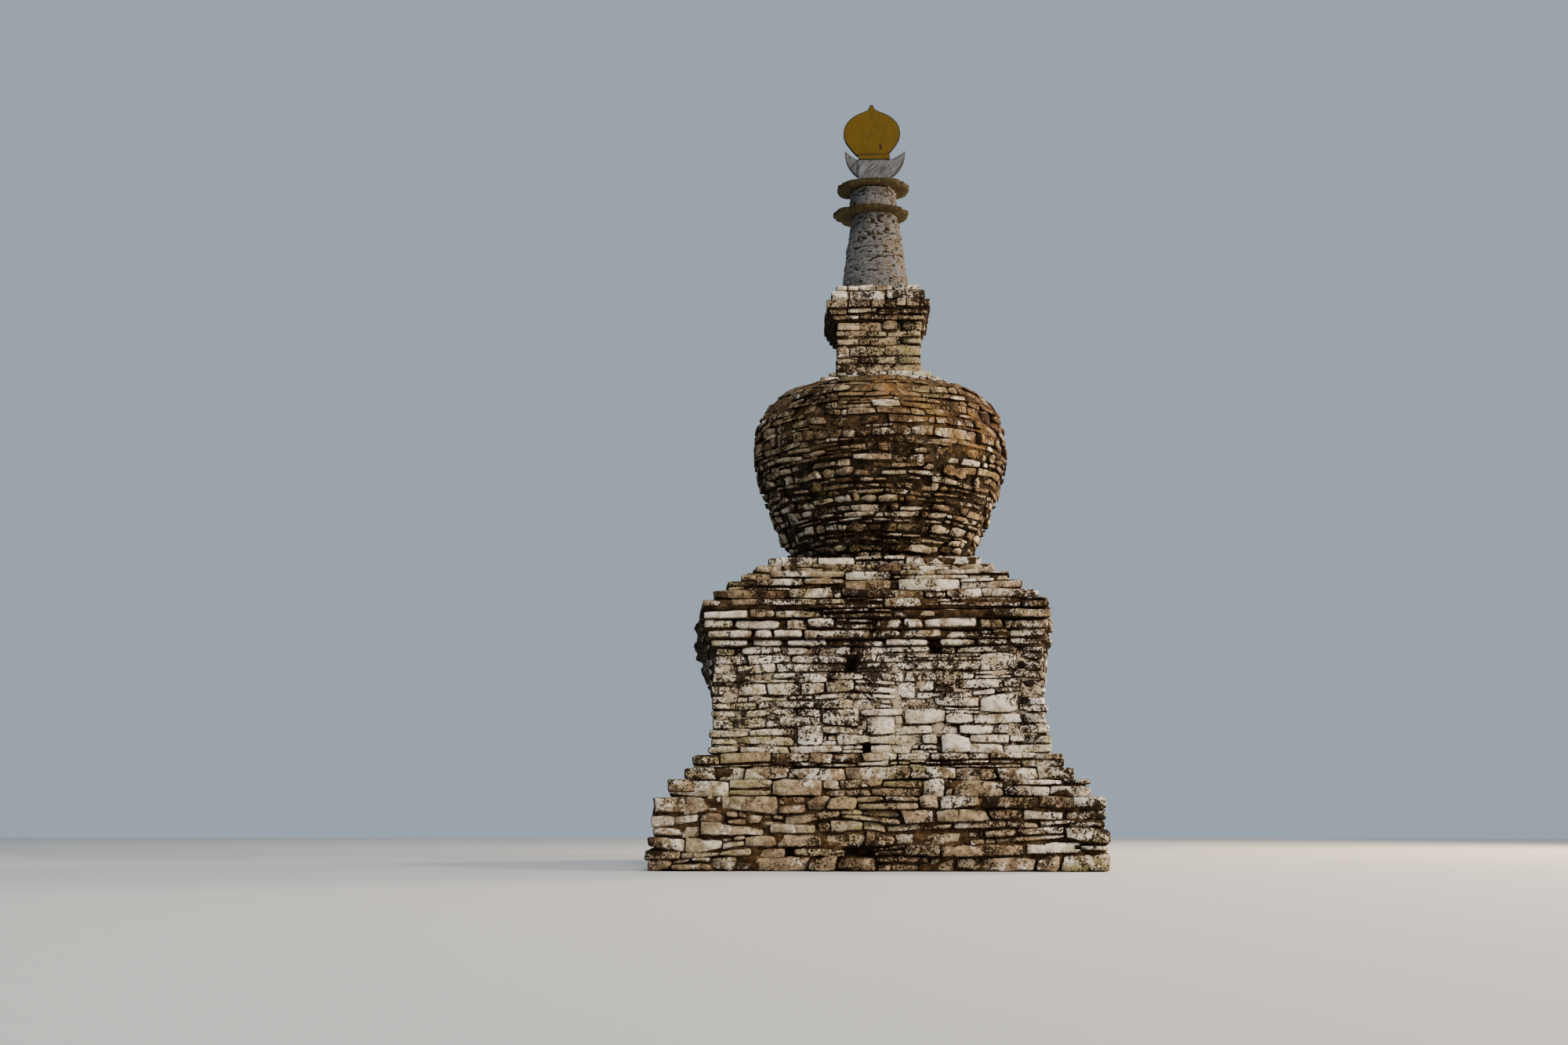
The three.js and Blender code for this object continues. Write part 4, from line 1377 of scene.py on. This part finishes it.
def board_paint(name, coat_colours, wood_and_shade, wear, streaks, slope, marks):
    """Old paint on a board: brush streaks, bare dark timber where it has worn, and a few dark marks, some of
    them painted shadow.
    """
    paint, tree, place = new_paint(name)
    turn = {"Vector": place, "Angle": math.radians(slope)}
    sloped = wire(tree, "ShaderNodeVectorRotate", turn, rotation_type="Y_AXIS")
    grain = cloud(sloped * ALONG_GRAIN, 70, 6, 0.65)
    blotches = cloud(place, 13, 5, 0.6)
    specks = cloud(place, 75, 7, 0.75)
    colour = ramp(0.5 + about(blotches, 1.1) + about(grain, streaks), coat_colours)
    bare = mark(tree, "rim") * wear + about(specks, 1.1) + about(grain, 0.6) + about(blotches, 0.5)
    colour = cover(colour, wood_and_shade, bare, 0.36, 0.56)
    strayed = place + (cloud(place, 60, 3, 0.6, "Color") - (0.5, 0.5, 0.5)) * MARK_STRAY
    for middle, size, strength in marks:
        colour = blend(oval(strayed, middle, size) * strength, colour, wood_and_shade)
    return finish_paint(paint, colour, 0.62, specks * 0.5 + grain, 0.0015)


MOON_COLOURS = ((0.014, 0.013, 0.011), (0.084, 0.085, 0.087), (0.165, 0.170, 0.178))
SUN_COLOURS = ((0.055, 0.0315, 0.0009), (0.081, 0.0475, 0.0012), (0.108, 0.0645, 0.0022))
OLD_WOOD_AND_SHADE = (0.020, 0.012, 0.006, 1)
sun_low = boxes["sun_disc"][0]
sun_front = sun_low.y
moon_low, moon_high = boxes["moon_board"]
# dark marks: the middle, the half size and the strength of each
SUN_MARKS = (
    ((0.0202, sun_front, 5.5114), (0.009, 0.02, 0.016), 0.55),
    ((0.0192, sun_front, 5.3929), (0.013, 0.02, 0.014), 0.45),
    ((0.0827, sun_front, 5.2798), (0.012, 0.03, 0.030), 1.0),
    # painted shadow: a dark line in the joint between the sun and its saddle
    ((0.019, sun_front, sun_low.z + 0.004), (0.16, 0.03, 0.012), 1.0),
)
MOON_MARKS = (
    # the first two marks: worn paint, and painted shadow below the sun's saddle
    ((moon_high.x - 0.018, moon_low.y, moon_high.z - 0.010), (0.034, 0.03, 0.036), 0.9),
    ((moon_low.x + 0.055, moon_low.y, moon_high.z - 0.002), (0.045, 0.03, 0.020), 0.55),
    ((moon_high.x - 0.030, moon_low.y, moon_low.z + 0.030), (0.040, 0.03, 0.012), 0.6),
)
moon_paint = board_paint("moon paint", MOON_COLOURS, OLD_WOOD_AND_SHADE, 0.55, 2.3, -42, MOON_MARKS)
sun_paint = board_paint("sun paint", SUN_COLOURS, OLD_WOOD_AND_SHADE, 0.85, 0.4, 0, SUN_MARKS)

for node, slot, paint, rounding, rim in (
    ("moon_board", "moon_paint", moon_paint, 0.0015, 0.006),
    ("moon_horn_left", "moon_paint", moon_paint, 0.0015, 0.010),
    ("moon_horn_right", "moon_paint", moon_paint, 0.0015, 0.010),
    ("sun_saddle", "sun_paint", sun_paint, 0.0015, 0.005),
    ("sun_disc", "sun_paint", sun_paint, 0.003, 0.008),
):
    joints = (moon_low.x, moon_high.x) if slot == "moon_paint" else ()
    board = worn_board(node, rounding, rim, joints)
    board.data.materials.append(paint)
    settle(board, node)

# %% [markdown]
# The building stands on a plain pale floor in soft light. A warm lamp at the right and in
# front stands for a low sun, a large one high up in front opens the shadows, and a
# second warm one behind the right side lights its edges. A pale blue surround fills in.

# %% Floor, surround and lamps
FLOOR_HALF = 14.0
LAMP_AIM = Vector((0, 0, 2.4))

floor_mesh = bpy.data.meshes.new("floor")
floor_corners = [(x * FLOOR_HALF, y * FLOOR_HALF, 0) for x, y in SQUARE_CORNERS]
floor_mesh.from_pydata(floor_corners, [], [(0, 1, 2, 3)])
floor = new_object("floor", floor_mesh)
floor_mesh.materials.append(finish_paint(new_paint("floor")[0], (0.52, 0.52, 0.51, 1), 0.9))
floor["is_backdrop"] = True

world = bpy.data.worlds.new("surround")
world.use_nodes = True
background = world.node_tree.nodes["Background"]
background.inputs["Color"].default_value = (0.64, 0.77, 0.92, 1)
background.inputs["Strength"].default_value = 0.56
bpy.context.scene.world = world


def lamp(name, place, size, power, colour):
    light = bpy.data.lights.new(name, "AREA")
    light.size = size
    light.energy = power
    light.color = colour
    holder = new_object(name, light)
    holder.location = place
    holder.rotation_euler = (LAMP_AIM - holder.location).to_track_quat("-Z", "Y").to_euler()


lamp("key", (13.0, -7.0, 6.0), 3.0, 2700, (1.0, 0.82, 0.62))
lamp("top", (2.5, -10.0, 19.0), 6.0, 3000, (1.0, 0.95, 0.90))
lamp("edge", (10.0, 5.0, 5.0), 3.0, 2300, (1.0, 0.72, 0.46))

# %% [markdown]
# Last, the triangles of all shown pieces are counted.

# %% Triangle count
total_triangles = sum(triangles(p.data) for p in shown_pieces())
print("triangles in all:", total_triangles)
